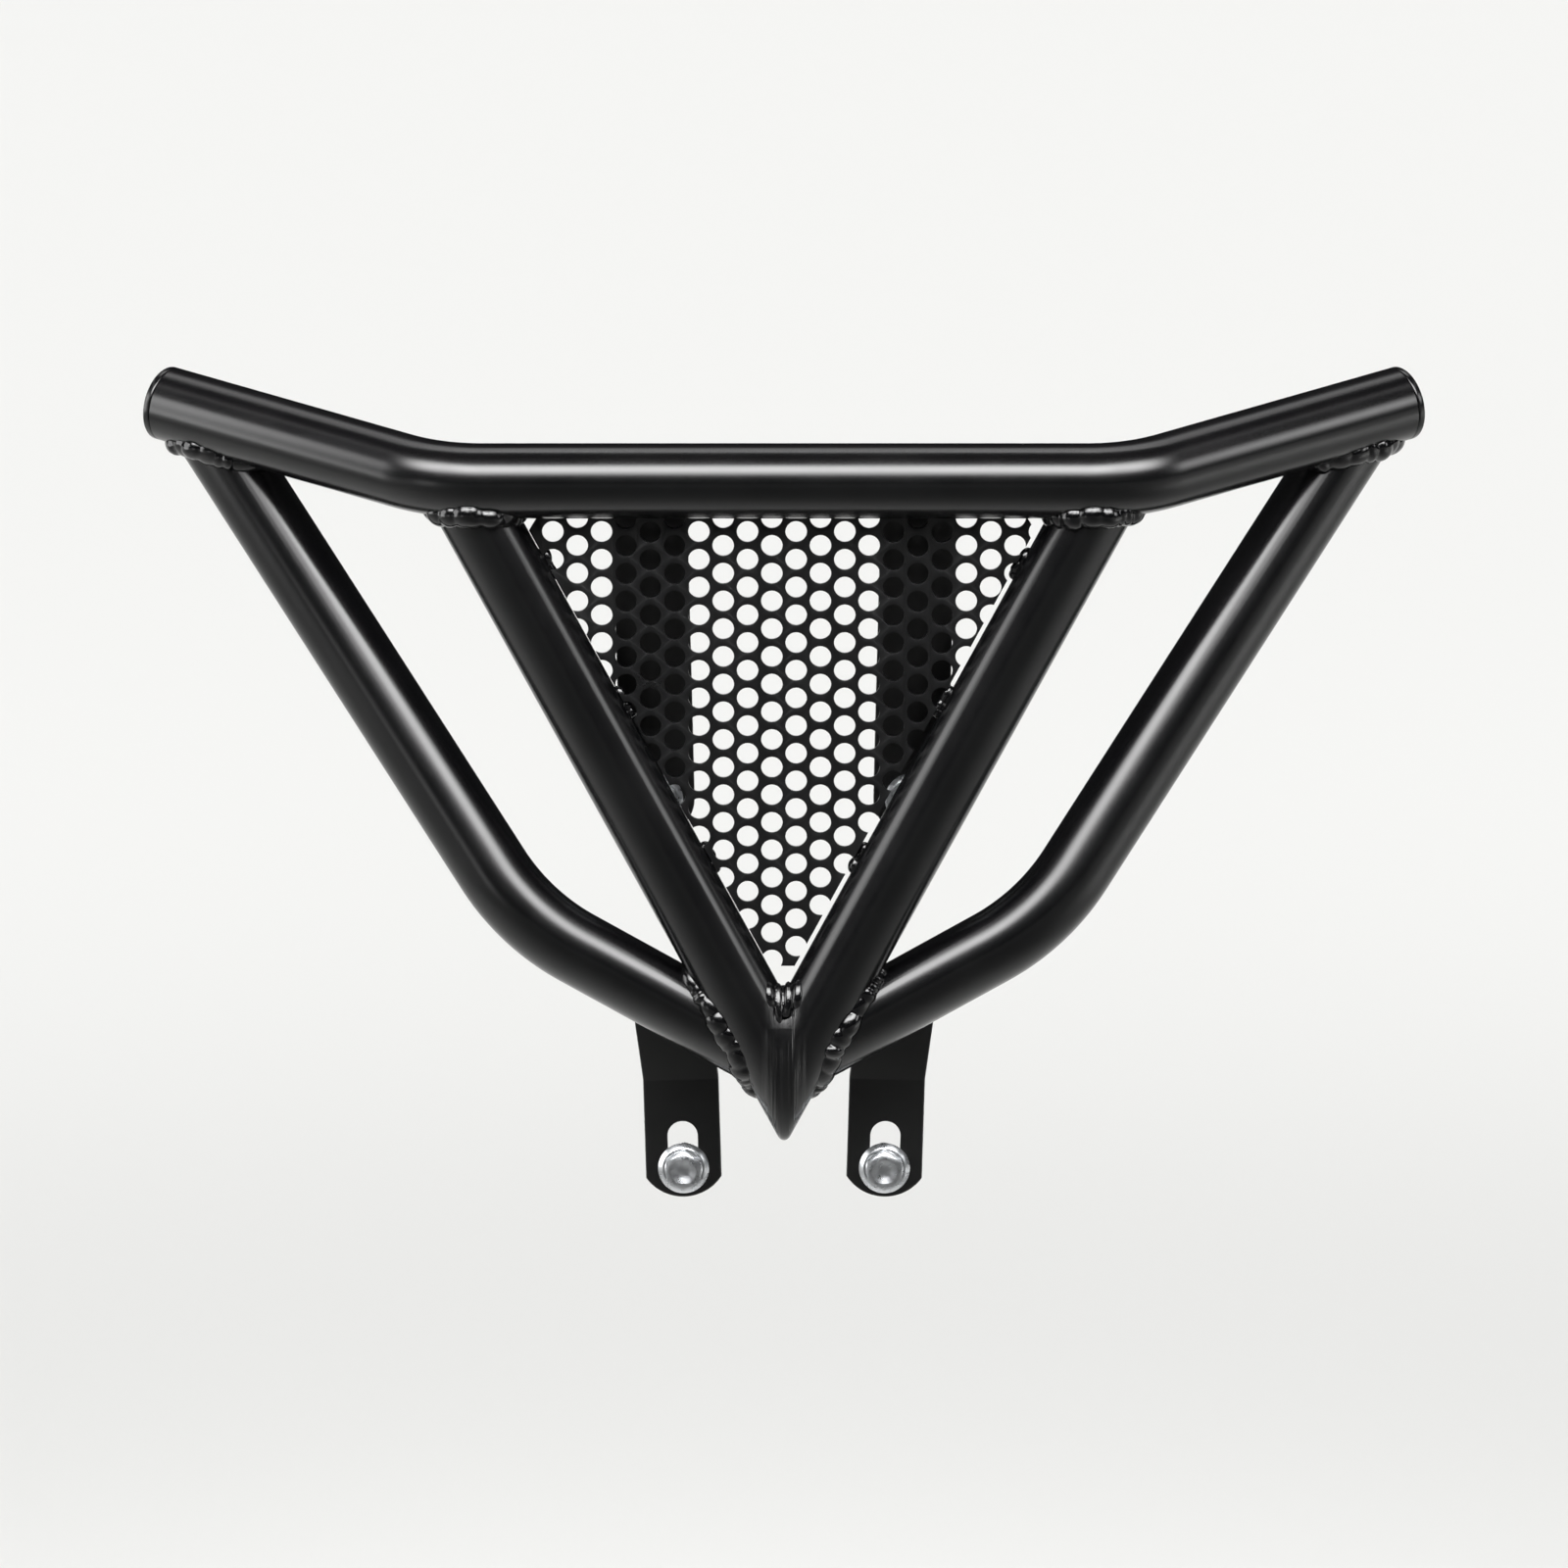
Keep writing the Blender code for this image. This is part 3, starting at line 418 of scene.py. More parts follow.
# Round tube, drawn through its bends
def drawn(corners, bend_radius, radius, wall=0.0):
    """A ring pulled along the straights and spun round the bends."""
    heading = (corners[1] - corners[0]).normalized()
    nothing_selected()
    bpy.ops.mesh.primitive_circle_add(
        vertices=TUBE_SIDES, radius=radius * MM, fill_type="NOTHING", location=place(corners[0]),
        rotation=heading.to_track_quat("Z", "Y").to_euler())
    obj = bpy.context.object
    to_edit(obj)
    bpy.ops.mesh.select_all(action="SELECT")
    here = corners[0]
    for before, corner, after in zip(corners, corners[1:], corners[2:]):
        start, centre, axis, turn = bend(before, corner, after, bend_radius)
        bpy.ops.mesh.extrude_region_move(TRANSFORM_OT_translate={"value": (start - here) * MM})
        steps = max(6, round(math.degrees(turn) / 1.5))
        bpy.ops.mesh.spin(steps=steps, angle=turn, center=place(centre), axis=-axis)
        here = centre + Matrix.Rotation(turn, 3, axis) @ (start - centre)
    bpy.ops.mesh.extrude_region_move(TRANSFORM_OT_translate={"value": (corners[-1] - here) * MM})
    if not wall:
        bpy.ops.mesh.select_mode(type="EDGE")
        bpy.ops.mesh.select_all(action="DESELECT")
        bpy.ops.mesh.select_non_manifold()
        bpy.ops.mesh.fill_holes(sides=0)
    nothing_selected()
    outward(obj)
    if wall:
        modify(obj, "SOLIDIFY", thickness=wall * MM, offset=-1.0, use_even_offset=True)
    return fixed(obj)


def discard(*objs):
    """Removes cutters and patterns that have done their work."""
    for obj in objs:
        bpy.data.objects.remove(obj, do_unlink=True)


class Joint:
    """A branch tube butted on a main tube, sawn along it END_TRIM short of its axis."""

    def __init__(self, main, branch, at_start):
        self.main = main
        self.branch = branch
        self.end = branch[0] if at_start else branch[-1]
        inner = branch[1] if at_start else branch[-2]
        self.away = (inner - self.end).normalized()
        self.foot = nearest(main, self.end)
        along = nearest(main, self.end + self.away * TUBE_R) - self.foot
        if along.length < 0.01:
            along = main[-1] - main[0]
        self.along = along.normalized()
        self.out = (self.away - self.along * self.away.dot(self.along)).normalized()

    def saw(self, obj):
        """Saws the branch square to the main tube, just short of its axis."""
        size = TUBE_R * 8
        turn = Matrix((self.along, self.out.cross(self.along), self.out)).transposed()
        nothing_selected()
        bpy.ops.mesh.primitive_cube_add(size=size * MM, rotation=turn.to_euler(),
                                        location=place(self.foot + self.out * (END_TRIM - size / 2)))
        cut(obj, fixed(bpy.context.object), keep=False)

    def seam(self):
        """Points round the seam with the way the bead faces there."""
        side = self.away.cross(self.along).normalized()
        other = self.away.cross(side)
        ring = []
        for i in range(SEAM_POINTS):
            angle = 2 * math.pi * i / SEAM_POINTS
            line = self.end + TUBE_R * (math.cos(angle) * side + math.sin(angle) * other)
            least = (END_TRIM - (line - self.foot).dot(self.out)) / self.away.dot(self.out)
            reach = least
            for k in range(SEAM_STEPS, 0, -1):
                spot = line + self.away * (least + k * SEAM_STEP)
                if (spot - nearest(self.main, spot)).length < TUBE_R:
                    reach = least + k * SEAM_STEP + SEAM_LIFT
                    break
            edge = line + self.away * reach
            foot = nearest(self.main, edge)
            skin = foot + (edge - foot).normalized() * TUBE_R
            ring.append([edge.lerp(skin, 0.5), (edge - skin).length, foot])
        for _ in range(SEAM_SMOOTHING):
            following = ring[1:] + ring[:1]
            ring = [[(before[0] + here[0] * 2 + after[0]) / 4, (before[1] + here[1] * 2 + after[1]) / 4, here[2]]
                    for before, here, after in zip(ring[-1:] + ring[:-1], ring, following)]
        found = []
        for spot, gap, foot in ring:
            from_main = (spot - foot).normalized()
            axis_spot = nearest(self.branch, spot)
            from_branch = (spot - axis_spot).normalized()
            found.append((spot, (from_main + from_branch).normalized(), gap))
        return found


def make_tubes():
    """Draws and copes every round tube; returns the seam of each joint for the welds."""
    reach = ARM_LENGTH - CAP_THICK - CAP_SEAM
    top = drawn(top_corners(reach), TOP_BEND_RADIUS, TUBE_R, TUBE_WALL)
    top_room = drawn(top_corners(ARM_LENGTH + 4.0), TOP_BEND_RADIUS, TUBE_R)
    top_line = bent_line(top_corners(reach), TOP_BEND_RADIUS)
    below = TUBE_R / math.tan(V_HALF_ANGLE) + 6.0
    seams = {}
    for side, word in SIDES:
        v_line = v_corners(side, below * 1.6, 0.0)
        v_joint = Joint(top_line, v_corners(side, below, 0.0), False)
        if side < 0:
            make_v(below, v_joint, top_room)
        v_room = drawn(v_line, 0.0, TUBE_R)
        side_line = bent_line(side_corners(side), SIDE_BEND_RADIUS)
        side_tube = drawn(side_corners(side), SIDE_BEND_RADIUS, TUBE_R, TUBE_WALL)
        upper = Joint(top_line, side_line, True)
        lower = Joint(v_line, side_line, False)
        upper.saw(side_tube)
        lower.saw(side_tube)
        cut(side_tube, top_room)
        cut(side_tube, v_room, keep=False)
        smooth(side_tube)
        finished(side_tube, "coated_side_tube_" + word, TUBE_COAT, "black_coat", "side_tube_" + word)
        seams["top_v_" + word] = v_joint.seam()
        seams["top_side_" + word] = upper.seam()
        seams["side_v_" + word] = lower.seam()
    discard(top_room)
    smooth(top)
    finished(top, "coated_top_tube", TUBE_COAT, "black_coat", "top_tube")
    return seams


def make_v(below, joint, top_room):
    """Left tube mitred on the middle plane and mirrored; the seam down the front is then filled
    and ground round."""
    tube = drawn(v_corners(-1, below, 0.0), 0.0, TUBE_R)
    joint.saw(tube)
    cut(tube, top_room)
    to_edit(tube)
    bpy.ops.mesh.select_all(action="SELECT")
    bpy.ops.mesh.bisect(plane_co=(0, 0, 0), plane_no=(1, 0, 0), clear_outer=True)
    nothing_selected()
    modify(tube, "MIRROR", use_axis=(True, False, False), use_mirror_merge=True, merge_threshold=0.01 * MM)
    outward(tube)
    to_edit(tube, "EDGE")
    pick(tube, lambda p: abs(p.x) < 0.01 and (p.z < -V_DROP or (p.y < SETBACK and p.z < NOSE_TOP)))
    bpy.ops.mesh.bevel(offset=NOSE_BLEND * MM, offset_type="OFFSET", segments=8, affect="EDGES")
    bpy.ops.mesh.select_all(action="SELECT")
    bpy.ops.mesh.bisect(plane_co=place((0, 0, TIP_GROUND)), plane_no=(0, 0, 1), use_fill=True, clear_inner=True)
    nothing_selected()
    smooth(tube, 40)
    finished(tube, "coated_v_tubes", NOSE_COAT, "black_coat", "v_tube_left", "v_tube_right")


# Weld beads
def spaced(run, spacing, closed):
    """Stations at equal steps along a run of (place, facing, gap)."""
    ring = run + run[:1] if closed else run
    lengths = [0.0]
    for a, b in zip(ring, ring[1:]):
        lengths.append(lengths[-1] + (b[0] - a[0]).length)
    count = max(3, round(lengths[-1] / spacing))
    stations = []
    k = 0
    for i in range(count if closed else count + 1):
        wanted = lengths[-1] * i / count
        while k < len(lengths) - 2 and lengths[k + 1] < wanted:
            k += 1
        share = (wanted - lengths[k]) / max(1e-6, lengths[k + 1] - lengths[k])
        a, b = ring[k], ring[k + 1]
        stations.append((a[0].lerp(b[0], share), a[1].lerp(b[1], share).normalized(),
                         a[2] + (b[2] - a[2]) * share, (b[0] - a[0]).normalized()))
    return stations


def puddle(first, centre, along, aside, up):
    """Copy of the first drop, stretched to three half axes given in millimetres."""
    made = first.copy()
    made.data = first.data.copy()
    shape = Matrix((along, aside, up)).transposed().to_4x4()
    made.matrix_world = Matrix.Translation(place(centre)) @ shape
    bpy.context.scene.collection.objects.link(made)
    return made


def laid(first, chance, run, width, closed, calm=NEVER_CALM):
    """Puddles set down by an unsteady hand: short folds, now and then a long smooth lobe, and
    one calm stretch where the bead faces the front, if that is asked for."""
    stations = spaced(run, PUDDLE_STEP, closed)
    puddles = []
    at = chance.uniform(0.0, 2.0)
    while at < len(stations):
        spot, facing, gap, way = stations[int(at)]
        still = -facing.y > calm
        lobe = still or chance.random() < 0.55
        long = width * (chance.uniform(0.5, 0.8) if lobe else chance.uniform(0.28, 0.4))
        wide = width / 2 * chance.uniform(0.9, 1.12) + gap * 0.35
        high = width * (0.55 if still else chance.uniform(0.36, 0.5))
        tilt = chance.uniform(0.0, 0.2) if lobe else chance.uniform(0.25, 0.6)
        aside = (facing.cross(way) + way * chance.uniform(-0.5, 0.5) * tilt).normalized()
        up = (facing - way * tilt).normalized()
        along = aside.cross(up).normalized()
        aside = up.cross(along)
        jog = 0.2 if still else 0.6
        shift = aside * chance.uniform(-jog, jog) - facing * PUDDLE_SINK
        puddles.append(puddle(first, spot + shift, along * long, aside * wide, up * high))
        at += long * chance.uniform(0.85, 1.15) / PUDDLE_STEP
    return puddles


def melted(puddles, name, node_name):
    """Joins the puddles into one bead."""
    nothing_selected()
    for puddle in puddles:
        puddle.select_set(True)
    bpy.context.view_layer.objects.active = puddles[0]
    bpy.ops.object.join()
    joined = fixed(bpy.context.object)
    modify(joined, "REMESH", mode="VOXEL", voxel_size=MELT_VOXEL * MM, use_smooth_shade=True)
    modify(joined, "SMOOTH", factor=0.5, iterations=2)
    return finished(joined, name, WELD_COAT, "weld_coat", node_name)


def drop():
    """Round drop of weld metal, the start of every puddle."""
    nothing_selected()
    bpy.ops.mesh.primitive_ico_sphere_add(subdivisions=3, radius=MM)
    return bpy.context.object


def bead(name, node_name, run, width, seed, closed=True, calm=NEVER_CALM):
    """One whole bead along a seam or a straight run."""
    first = drop()
    puddles = laid(first, random.Random(seed), run, width, closed, calm)
    discard(first)
    return melted(puddles, name, node_name)


def straight_run(a, b, facing, count=8):
    """Stations for a bead that closes no gap, from a to b."""
    return [(a.lerp(b, k / (count - 1)), facing, 0.0) for k in range(count)]


def make_welds(seams):
    """Every bead on the bumper, each started from a number of its own."""
    for number, (joint, run) in enumerate(sorted(seams.items())):
        width = SIDE_V_BEAD if joint.startswith("side_v") else TUBE_BEAD
        calm = CALM_IN_FRONT if joint.startswith("top_v") else NEVER_CALM
        bead("bead_" + joint, "weld_" + joint, run, width, 40 + number, True, calm)
    make_crotch_weld()
    low, high, _ = [Vector((x, 0, z)) for x, z in panel_corners()]
    rise = Vector((math.sin(V_HALF_ANGLE), 0, math.cos(V_HALF_ANGLE)))
    for side, word in SIDES:
        across = Vector((side, 1, 1))
        for number, (share, level) in enumerate(TACK_LEVELS):
            spot = low.lerp(high, share) + Vector((0.8, SETBACK + 2.4, 0))
            run = straight_run((spot - rise * TACK_HALF_LENGTH) * across, (spot + rise * TACK_HALF_LENGTH) * across,
                               Vector((-side * 0.4, 0.9, 0)).normalized())
            end = level + "_" + word
            bead("tack_bead_" + end, "tack_" + end, run, TACK_BEAD, 70 + number, False)
        make_bar_welds(side, word)


def crotch_point(angle):
    """A place on the inner seam of the V, and the way it faces; -90 degrees is the front, 0 the top."""
    turn = math.radians(angle)
    rise = TUBE_R / math.sin(V_HALF_ANGLE) * math.cos(turn)
    return (Vector((0, SETBACK + TUBE_R * math.sin(turn), rise - V_DROP)),
            Vector((0, math.sin(turn), math.cos(turn))))


def make_crotch_weld():
    """Over the back one plain bead; the front shows four folds that run down side by side
    and bridge the two tubes."""
    chance = random.Random(60)
    first = drop()
    back = [(*crotch_point(angle), 0.0) for angle in range(-10, 72, 10)]
    puddles = laid(first, chance, back, CROTCH_BEAD, False)
    down = Vector((0, -0.36, -0.93))
    for x, top, length, wide in CROTCH_FOLDS:
        middle = Vector((x, 1.2 - abs(x) * 0.3, CROTCH_FOLD_TOP + top)) + down * length / 2
        facing = Vector((x * 0.06, -0.93, 0.36)).normalized()
        slant = (down + Vector((-x * 0.02, 0, 0))).normalized()
        aside = slant.cross(facing).normalized()
        puddles.append(puddle(first, middle, slant * length * 0.6, aside * wide, facing * CROTCH_FOLD_HEIGHT))
    discard(first)
    melted(puddles, "bead_crotch", "weld_apex")


def make_bar_welds(side, word):
    """Fillets that hold the straps and tabs to the tubes."""
    face = (TUBE_R + 0.3) / math.cos(STRAP_LEAN) - STRAP_TOP_RISE * math.tan(STRAP_LEAN)
    middle = Vector((side * STRAP_TOP_X, face, STRAP_TOP_RISE + 0.6))
    half = Vector((STRAP_BEAD_HALF, 0, 0))
    run = straight_run(middle - half, middle + half, Vector((0, 0.25, 0.97)).normalized())
    bead("strap_bead_" + word, "weld_strap_" + word, run, BAR_BEAD, 80 + side, False)
    slope = (SIDE_FOOT_DROP - SIDE_CORNER_DROP) / SIDE_CORNER_X
    level = TAB_X * slope - SIDE_FOOT_DROP
    rise = level + BOLT_DROP - TAB_BEND_RISE
    centre_x = TAB_X + TAB_BEND_RISE * math.tan(TAB_SIDE_TILT) + rise * math.tan(TAB_UPPER_TILT)
    for edge, edge_word in ((-1, "inner"), (1, "outer")):
        x = centre_x + edge * TAB_WIDTH / 2
        height = x * slope - SIDE_FOOT_DROP
        ends = []
        for z in (height - TAB_BEAD_HALF, height + TAB_BEAD_HALF):
            up = z + BOLT_DROP - TAB_BEND_RISE
            shift = (z - level) * math.tan(TAB_UPPER_TILT)
            ends.append(Vector((side * (x + shift + edge * 0.2), TAB_FRONT - up * math.tan(TAB_LEAN) - 0.4, z)))
        run = straight_run(ends[0], ends[1], Vector((side * edge * 0.8, 0.6, 0)).normalized())
        end = edge_word + "_" + word
        bead("tab_bead_" + end, "weld_tab_" + end, run, BAR_BEAD, 90 + edge, False)


def make_caps():
    """Thin discs that close the top tube, their rims rounded."""
    for side, word in SIDES:
        nothing_selected()
        bpy.ops.mesh.primitive_cylinder_add(
            vertices=TUBE_SIDES, radius=TUBE_R * MM, depth=CAP_THICK * MM,
            location=place(arm_point(side, ARM_LENGTH - CAP_THICK / 2)),
            rotation=arm_direction(side).to_track_quat("Z", "Y").to_euler())
        cap = bpy.context.object
        modify(cap, "BEVEL", width=0.7 * MM, segments=4, limit_method="ANGLE", angle_limit=math.radians(50))
        smooth(cap, 50)
        finished(cap, "welded_end_cap_" + word, TUBE_COAT, "black_coat", "end_cap_" + word)


# Punched panel
def panel_corners():
    """Right half of the panel's outline as X and Z, from the foot up."""
    tan = math.tan(V_HALF_ANGLE)
    inset = (TUBE_R + 0.9) / math.cos(V_HALF_ANGLE)
    top = -(TUBE_R + 0.6)
    corner = (V_DROP + top) * tan - inset
    return [
        (4.3, (4.3 + inset) / tan - V_DROP),
        (corner - PANEL_CHAMFER * math.sin(V_HALF_ANGLE), top - PANEL_CHAMFER * math.cos(V_HALF_ANGLE)),
        (corner - PANEL_CHAMFER, top),
    ]


def hole_spots(outline):
    """Centres of the staggered holes, those cut by the edge among them."""
    radius = HOLE_DIA / 2
    across = HOLE_PITCH * math.sin(math.radians(60))
    edges = list(zip(outline, outline[1:] + outline[:1]))
    spots = []
    for column in range(-14, 14):
        for row in range(-1, 24):
            x = (column + 0.5) * across
            z = outline[2][1] - TOP_ROW - (HOLE_PITCH / 2 if column % 2 else 0.0) - row * HOLE_PITCH
            depths = []
            for (ax, az), (bx, bz) in edges:
                run = Vector((bx - ax, bz - az)).normalized()
                depths.append(run.x * (z - az) - run.y * (x - ax))
            if min(depths) > -radius * LEAST_BITE:
                spots.append((x, z))
    return spots


def make_panel():
    """Sheet cut to the V, then punched; the coat rounds every edge. It was tacked in hard against
    the left tube, so the gap shows at the right."""
    right = panel_corners()
    outline = [(x + PANEL_SHIFT, z) for x, z in right] + [(PANEL_SHIFT - x, z) for x, z in reversed(right)]
    low, high = outline[0][1], outline[2][1]
    wide = max(abs(x) for x, z in outline)
    nothing_selected()
    bpy.ops.mesh.primitive_cube_add(size=1.0, location=place((0.0, SETBACK, (low + high) / 2)),
                                    scale=Vector((wide * 2, PANEL_THICK, high - low)) * MM)
    panel = fixed(bpy.context.object)
    to_edit(panel)
    for (ax, az), (bx, bz) in zip(outline, outline[1:] + outline[:1]):
        if abs(az - bz) < 0.01:
            continue
        bpy.ops.mesh.select_all(action="SELECT")
        bpy.ops.mesh.bisect(plane_co=place((ax, 0, az)), plane_no=Vector((bz - az, 0, ax - bx)).normalized(),
                            use_fill=True, clear_outer=True)
    nothing_selected()
    fixed(panel)
    bpy.ops.mesh.primitive_cylinder_add(vertices=26, radius=HOLE_DIA / 2 * MM, depth=PANEL_THICK * 3 * MM,
                                        location=place((0, SETBACK, 0)), rotation=(math.radians(90), 0, 0))
    punch = fixed(bpy.context.object)
    punches = [punch]
    for x, z in hole_spots(outline):
        copy = punch.copy()
        copy.data = punch.data.copy()
        copy.location = Vector((x, 0, z)) * MM
        bpy.context.scene.collection.objects.link(copy)
        punches.append(copy)
    nothing_selected()
    for one in punches[1:]:
        one.select_set(True)
    bpy.context.view_layer.objects.active = punches[1]
    bpy.ops.object.join()
    cut(panel, bpy.context.object, keep=False)
    discard(punch)
    modify(panel, "BEVEL", width=0.28 * MM, segments=2, limit_method="ANGLE", angle_limit=math.radians(50))
    smooth(panel, 40)
    finished(panel, "punched_panel", PANEL_COAT, "panel_coat", "perforated_panel")


# Flat bars
def foot_plate(centre, width, radius, sides):
    """Disc trimmed to the bar's width, its upper half cut away; returns it in edit mode, top edge picked."""
    nothing_selected()
    bpy.ops.mesh.primitive_circle_add(vertices=sides, radius=radius * MM, fill_type="NGON",
                                      location=place(centre), rotation=(math.radians(90), 0, 0))
    plate = bpy.context.object
    to_edit(plate)
    for normal, offset in (((1, 0, 0), width / 2), ((-1, 0, 0), width / 2), ((0, 0, 1), 0.0)):
        if normal[2] == 0 and offset > radius - 0.01:
            continue
        bpy.ops.mesh.select_all(action="SELECT")
        bpy.ops.mesh.bisect(plane_co=place(centre + Vector(normal) * offset), plane_no=normal, clear_outer=True)
    pick(plate, lambda p: abs(p.z - centre.z) < 0.01)
    return plate


def turned(obj, angle, about):
    """Tilts a finished bar sideways about a point."""
    centre = place(about)
    active(obj)
    world = Matrix.Translation(centre) @ Matrix.Rotation(angle, 4, "Y") @ Matrix.Translation(-centre)
    obj.matrix_world = world @ obj.matrix_world
    fixed(obj)


def bar_stock(plate):
    """Gives a bent plate the thickness of the bar and its eased edges."""
    nothing_selected()
    outward(plate)
    modify(plate, "SOLIDIFY", thickness=BAR_THICK * MM, offset=0.0, use_even_offset=True)
    modify(plate, "BEVEL", width=0.6 * MM, segments=3, limit_method="ANGLE", angle_limit=math.radians(45))


def slot_cutter(centre, width, travel):
    """Drill for a hole, drawn upward into a slot where it has travel."""
    nothing_selected()
    # turned by half a facet, so that the flat sides of the slot start between two corners
    bpy.ops.mesh.primitive_cylinder_add(vertices=48, radius=width / 2 * MM, depth=60 * MM,
                                        location=place(centre),
                                        rotation=(math.radians(90), math.radians(3.75), 0))
    cutter = bpy.context.object
    if travel:
        to_edit(cutter)
        pick(cutter, lambda p: p.z > centre.z)
        bpy.ops.transform.translate(value=(0, 0, travel * MM))
    return fixed(cutter)


def make_straps():
    """Upper bars: the foot with its bolt hole, one bend, and a straight run up to the top tube."""
    for side, word in SIDES:
        face = (TUBE_R + 0.3 + BAR_THICK / 2) / math.cos(STRAP_LEAN)
        far = face + STRAP_BEND_DROP * math.tan(STRAP_LEAN)
        foot = Vector((side * STRAP_TOP_X, far, -STRAP_HOLE_DROP))
        strap = foot_plate(foot, STRAP_WIDTH, STRAP_WIDTH / 2, 64)
        reach = BAR_BEND * 2 * math.tan(STRAP_LEAN / 2)
        rise = STRAP_HOLE_DROP - STRAP_BEND_DROP - reach
        bpy.ops.mesh.extrude_region_move(TRANSFORM_OT_translate={"value": (0, 0, rise * MM)})
        centre = foot + Vector((0, -BAR_BEND * 2, rise))
        bpy.ops.mesh.spin(steps=6, angle=STRAP_LEAN, center=place(centre), axis=(-1, 0, 0))
        length = (STRAP_BEND_DROP + STRAP_TOP_RISE) / math.cos(STRAP_LEAN) - reach
        run = Vector((0, -math.sin(STRAP_LEAN), math.cos(STRAP_LEAN))) * length
        bpy.ops.mesh.extrude_region_move(TRANSFORM_OT_translate={"value": run * MM})
        bar_stock(strap)
        cut(strap, slot_cutter(foot, STRAP_HOLE, 0.0), keep=False)
        turned(strap, side * STRAP_TILT, Vector((side * STRAP_TOP_X, 0, 0)))
        smooth(strap)
        finished(strap, "flat_strap_" + word, BAR_COAT, "black_coat", "upper_strap_" + word)


def make_tabs():
    """Lower bars: a rounded foot with its slot, one bend, and an upper end that leans to the tube."""
    for side, word in SIDES:
        bolt = Vector((side * TAB_X, TAB_FRONT + BAR_THICK / 2, -BOLT_DROP))
        foot = bolt + Vector((0, 0, TAB_FOOT_RADIUS - TAB_FOOT_DROP))
        tab = foot_plate(foot, TAB_WIDTH, TAB_FOOT_RADIUS, 96)
        reach = BAR_BEND * math.tan(TAB_LEAN / 2)
        rise = TAB_BEND_RISE - (foot.z - bolt.z) - reach
        bpy.ops.mesh.extrude_region_move(TRANSFORM_OT_translate={"value": (0, 0, rise * MM)})
        centre = foot + Vector((0, -BAR_BEND, rise))
        bpy.ops.mesh.spin(steps=6, angle=TAB_LEAN, center=place(centre), axis=(-1, 0, 0))
        upper = TAB_TOP_RISE - TAB_BEND_RISE - reach
        lean = Vector((side * math.tan(TAB_UPPER_TILT - TAB_SIDE_TILT), -math.tan(TAB_LEAN), 1.0)) * upper
        bpy.ops.mesh.extrude_region_move(TRANSFORM_OT_translate={"value": lean * MM})
        bar_stock(tab)
        cut(tab, slot_cutter(bolt, SLOT_WIDTH, SLOT_TRAVEL), keep=False)
        turned(tab, side * TAB_SIDE_TILT, bolt)
        smooth(tab)
        finished(tab, "slotted_tab_" + word, BAR_COAT, "black_coat", "lower_tab_" + word)


# Flange bolts
def rod(radius, low, high, sides, seat, top_radius=None):
    """Closed cone or cylinder on the bolt's axis, heights measured toward the front from the seat."""
    nothing_selected()
    bpy.ops.mesh.primitive_cone_add(
        vertices=sides, radius1=radius * MM, radius2=(radius if top_radius is None else top_radius) * MM,
        depth=(high - low) * MM, location=place(seat - BACK * (low + high) / 2),
        rotation=(math.radians(90), 0, 0))
    return fixed(bpy.context.object)


def threaded_shank(seat):
    """One turn of thread profile pulled round the axis, trimmed at both ends."""
    nothing_selected()
    start = -0.4 + BOLT_PITCH
    bpy.ops.mesh.primitive_plane_add(size=1.0, location=place(seat))
    shank = bpy.context.object
    to_edit(shank)
    bpy.ops.mesh.select_all(action="SELECT")
    bpy.ops.mesh.delete(type="VERT")
    bpy.ops.object.mode_set(mode="OBJECT")
    mesh = shank.data
    depth = BOLT_PITCH * 0.6
    # radius and height of each corner of the thread over one pitch
    profile = [(BOLT_R - depth, 0.0), (BOLT_R, 0.45), (BOLT_R, 0.6), (BOLT_R - depth, 1.05), (BOLT_R - depth, 1.25)]
    mesh.from_pydata([(r * MM, 0.0, (start - h) * MM) for r, h in profile], [(0, 1), (1, 2), (2, 3), (3, 4)], [])
    shank.rotation_euler = (math.radians(90), 0, 0)
    turns = int(BOLT_LENGTH / BOLT_PITCH) + 2
    modify(shank, "SCREW", steps=28, render_steps=28, screw_offset=-BOLT_PITCH * MM, iterations=turns,
           use_merge_vertices=True, merge_threshold=0.00001)
    fixed(shank)
    for height, normal in ((0.0, (0, -1, 0)), (-BOLT_LENGTH, (0, 1, 0))):
        to_edit(shank)
        bpy.ops.mesh.select_all(action="SELECT")
        bpy.ops.mesh.bisect(plane_co=place(seat - BACK * height), plane_no=normal, use_fill=True, clear_outer=True)
    nothing_selected()
    outward(shank, 0.005)
    return shank


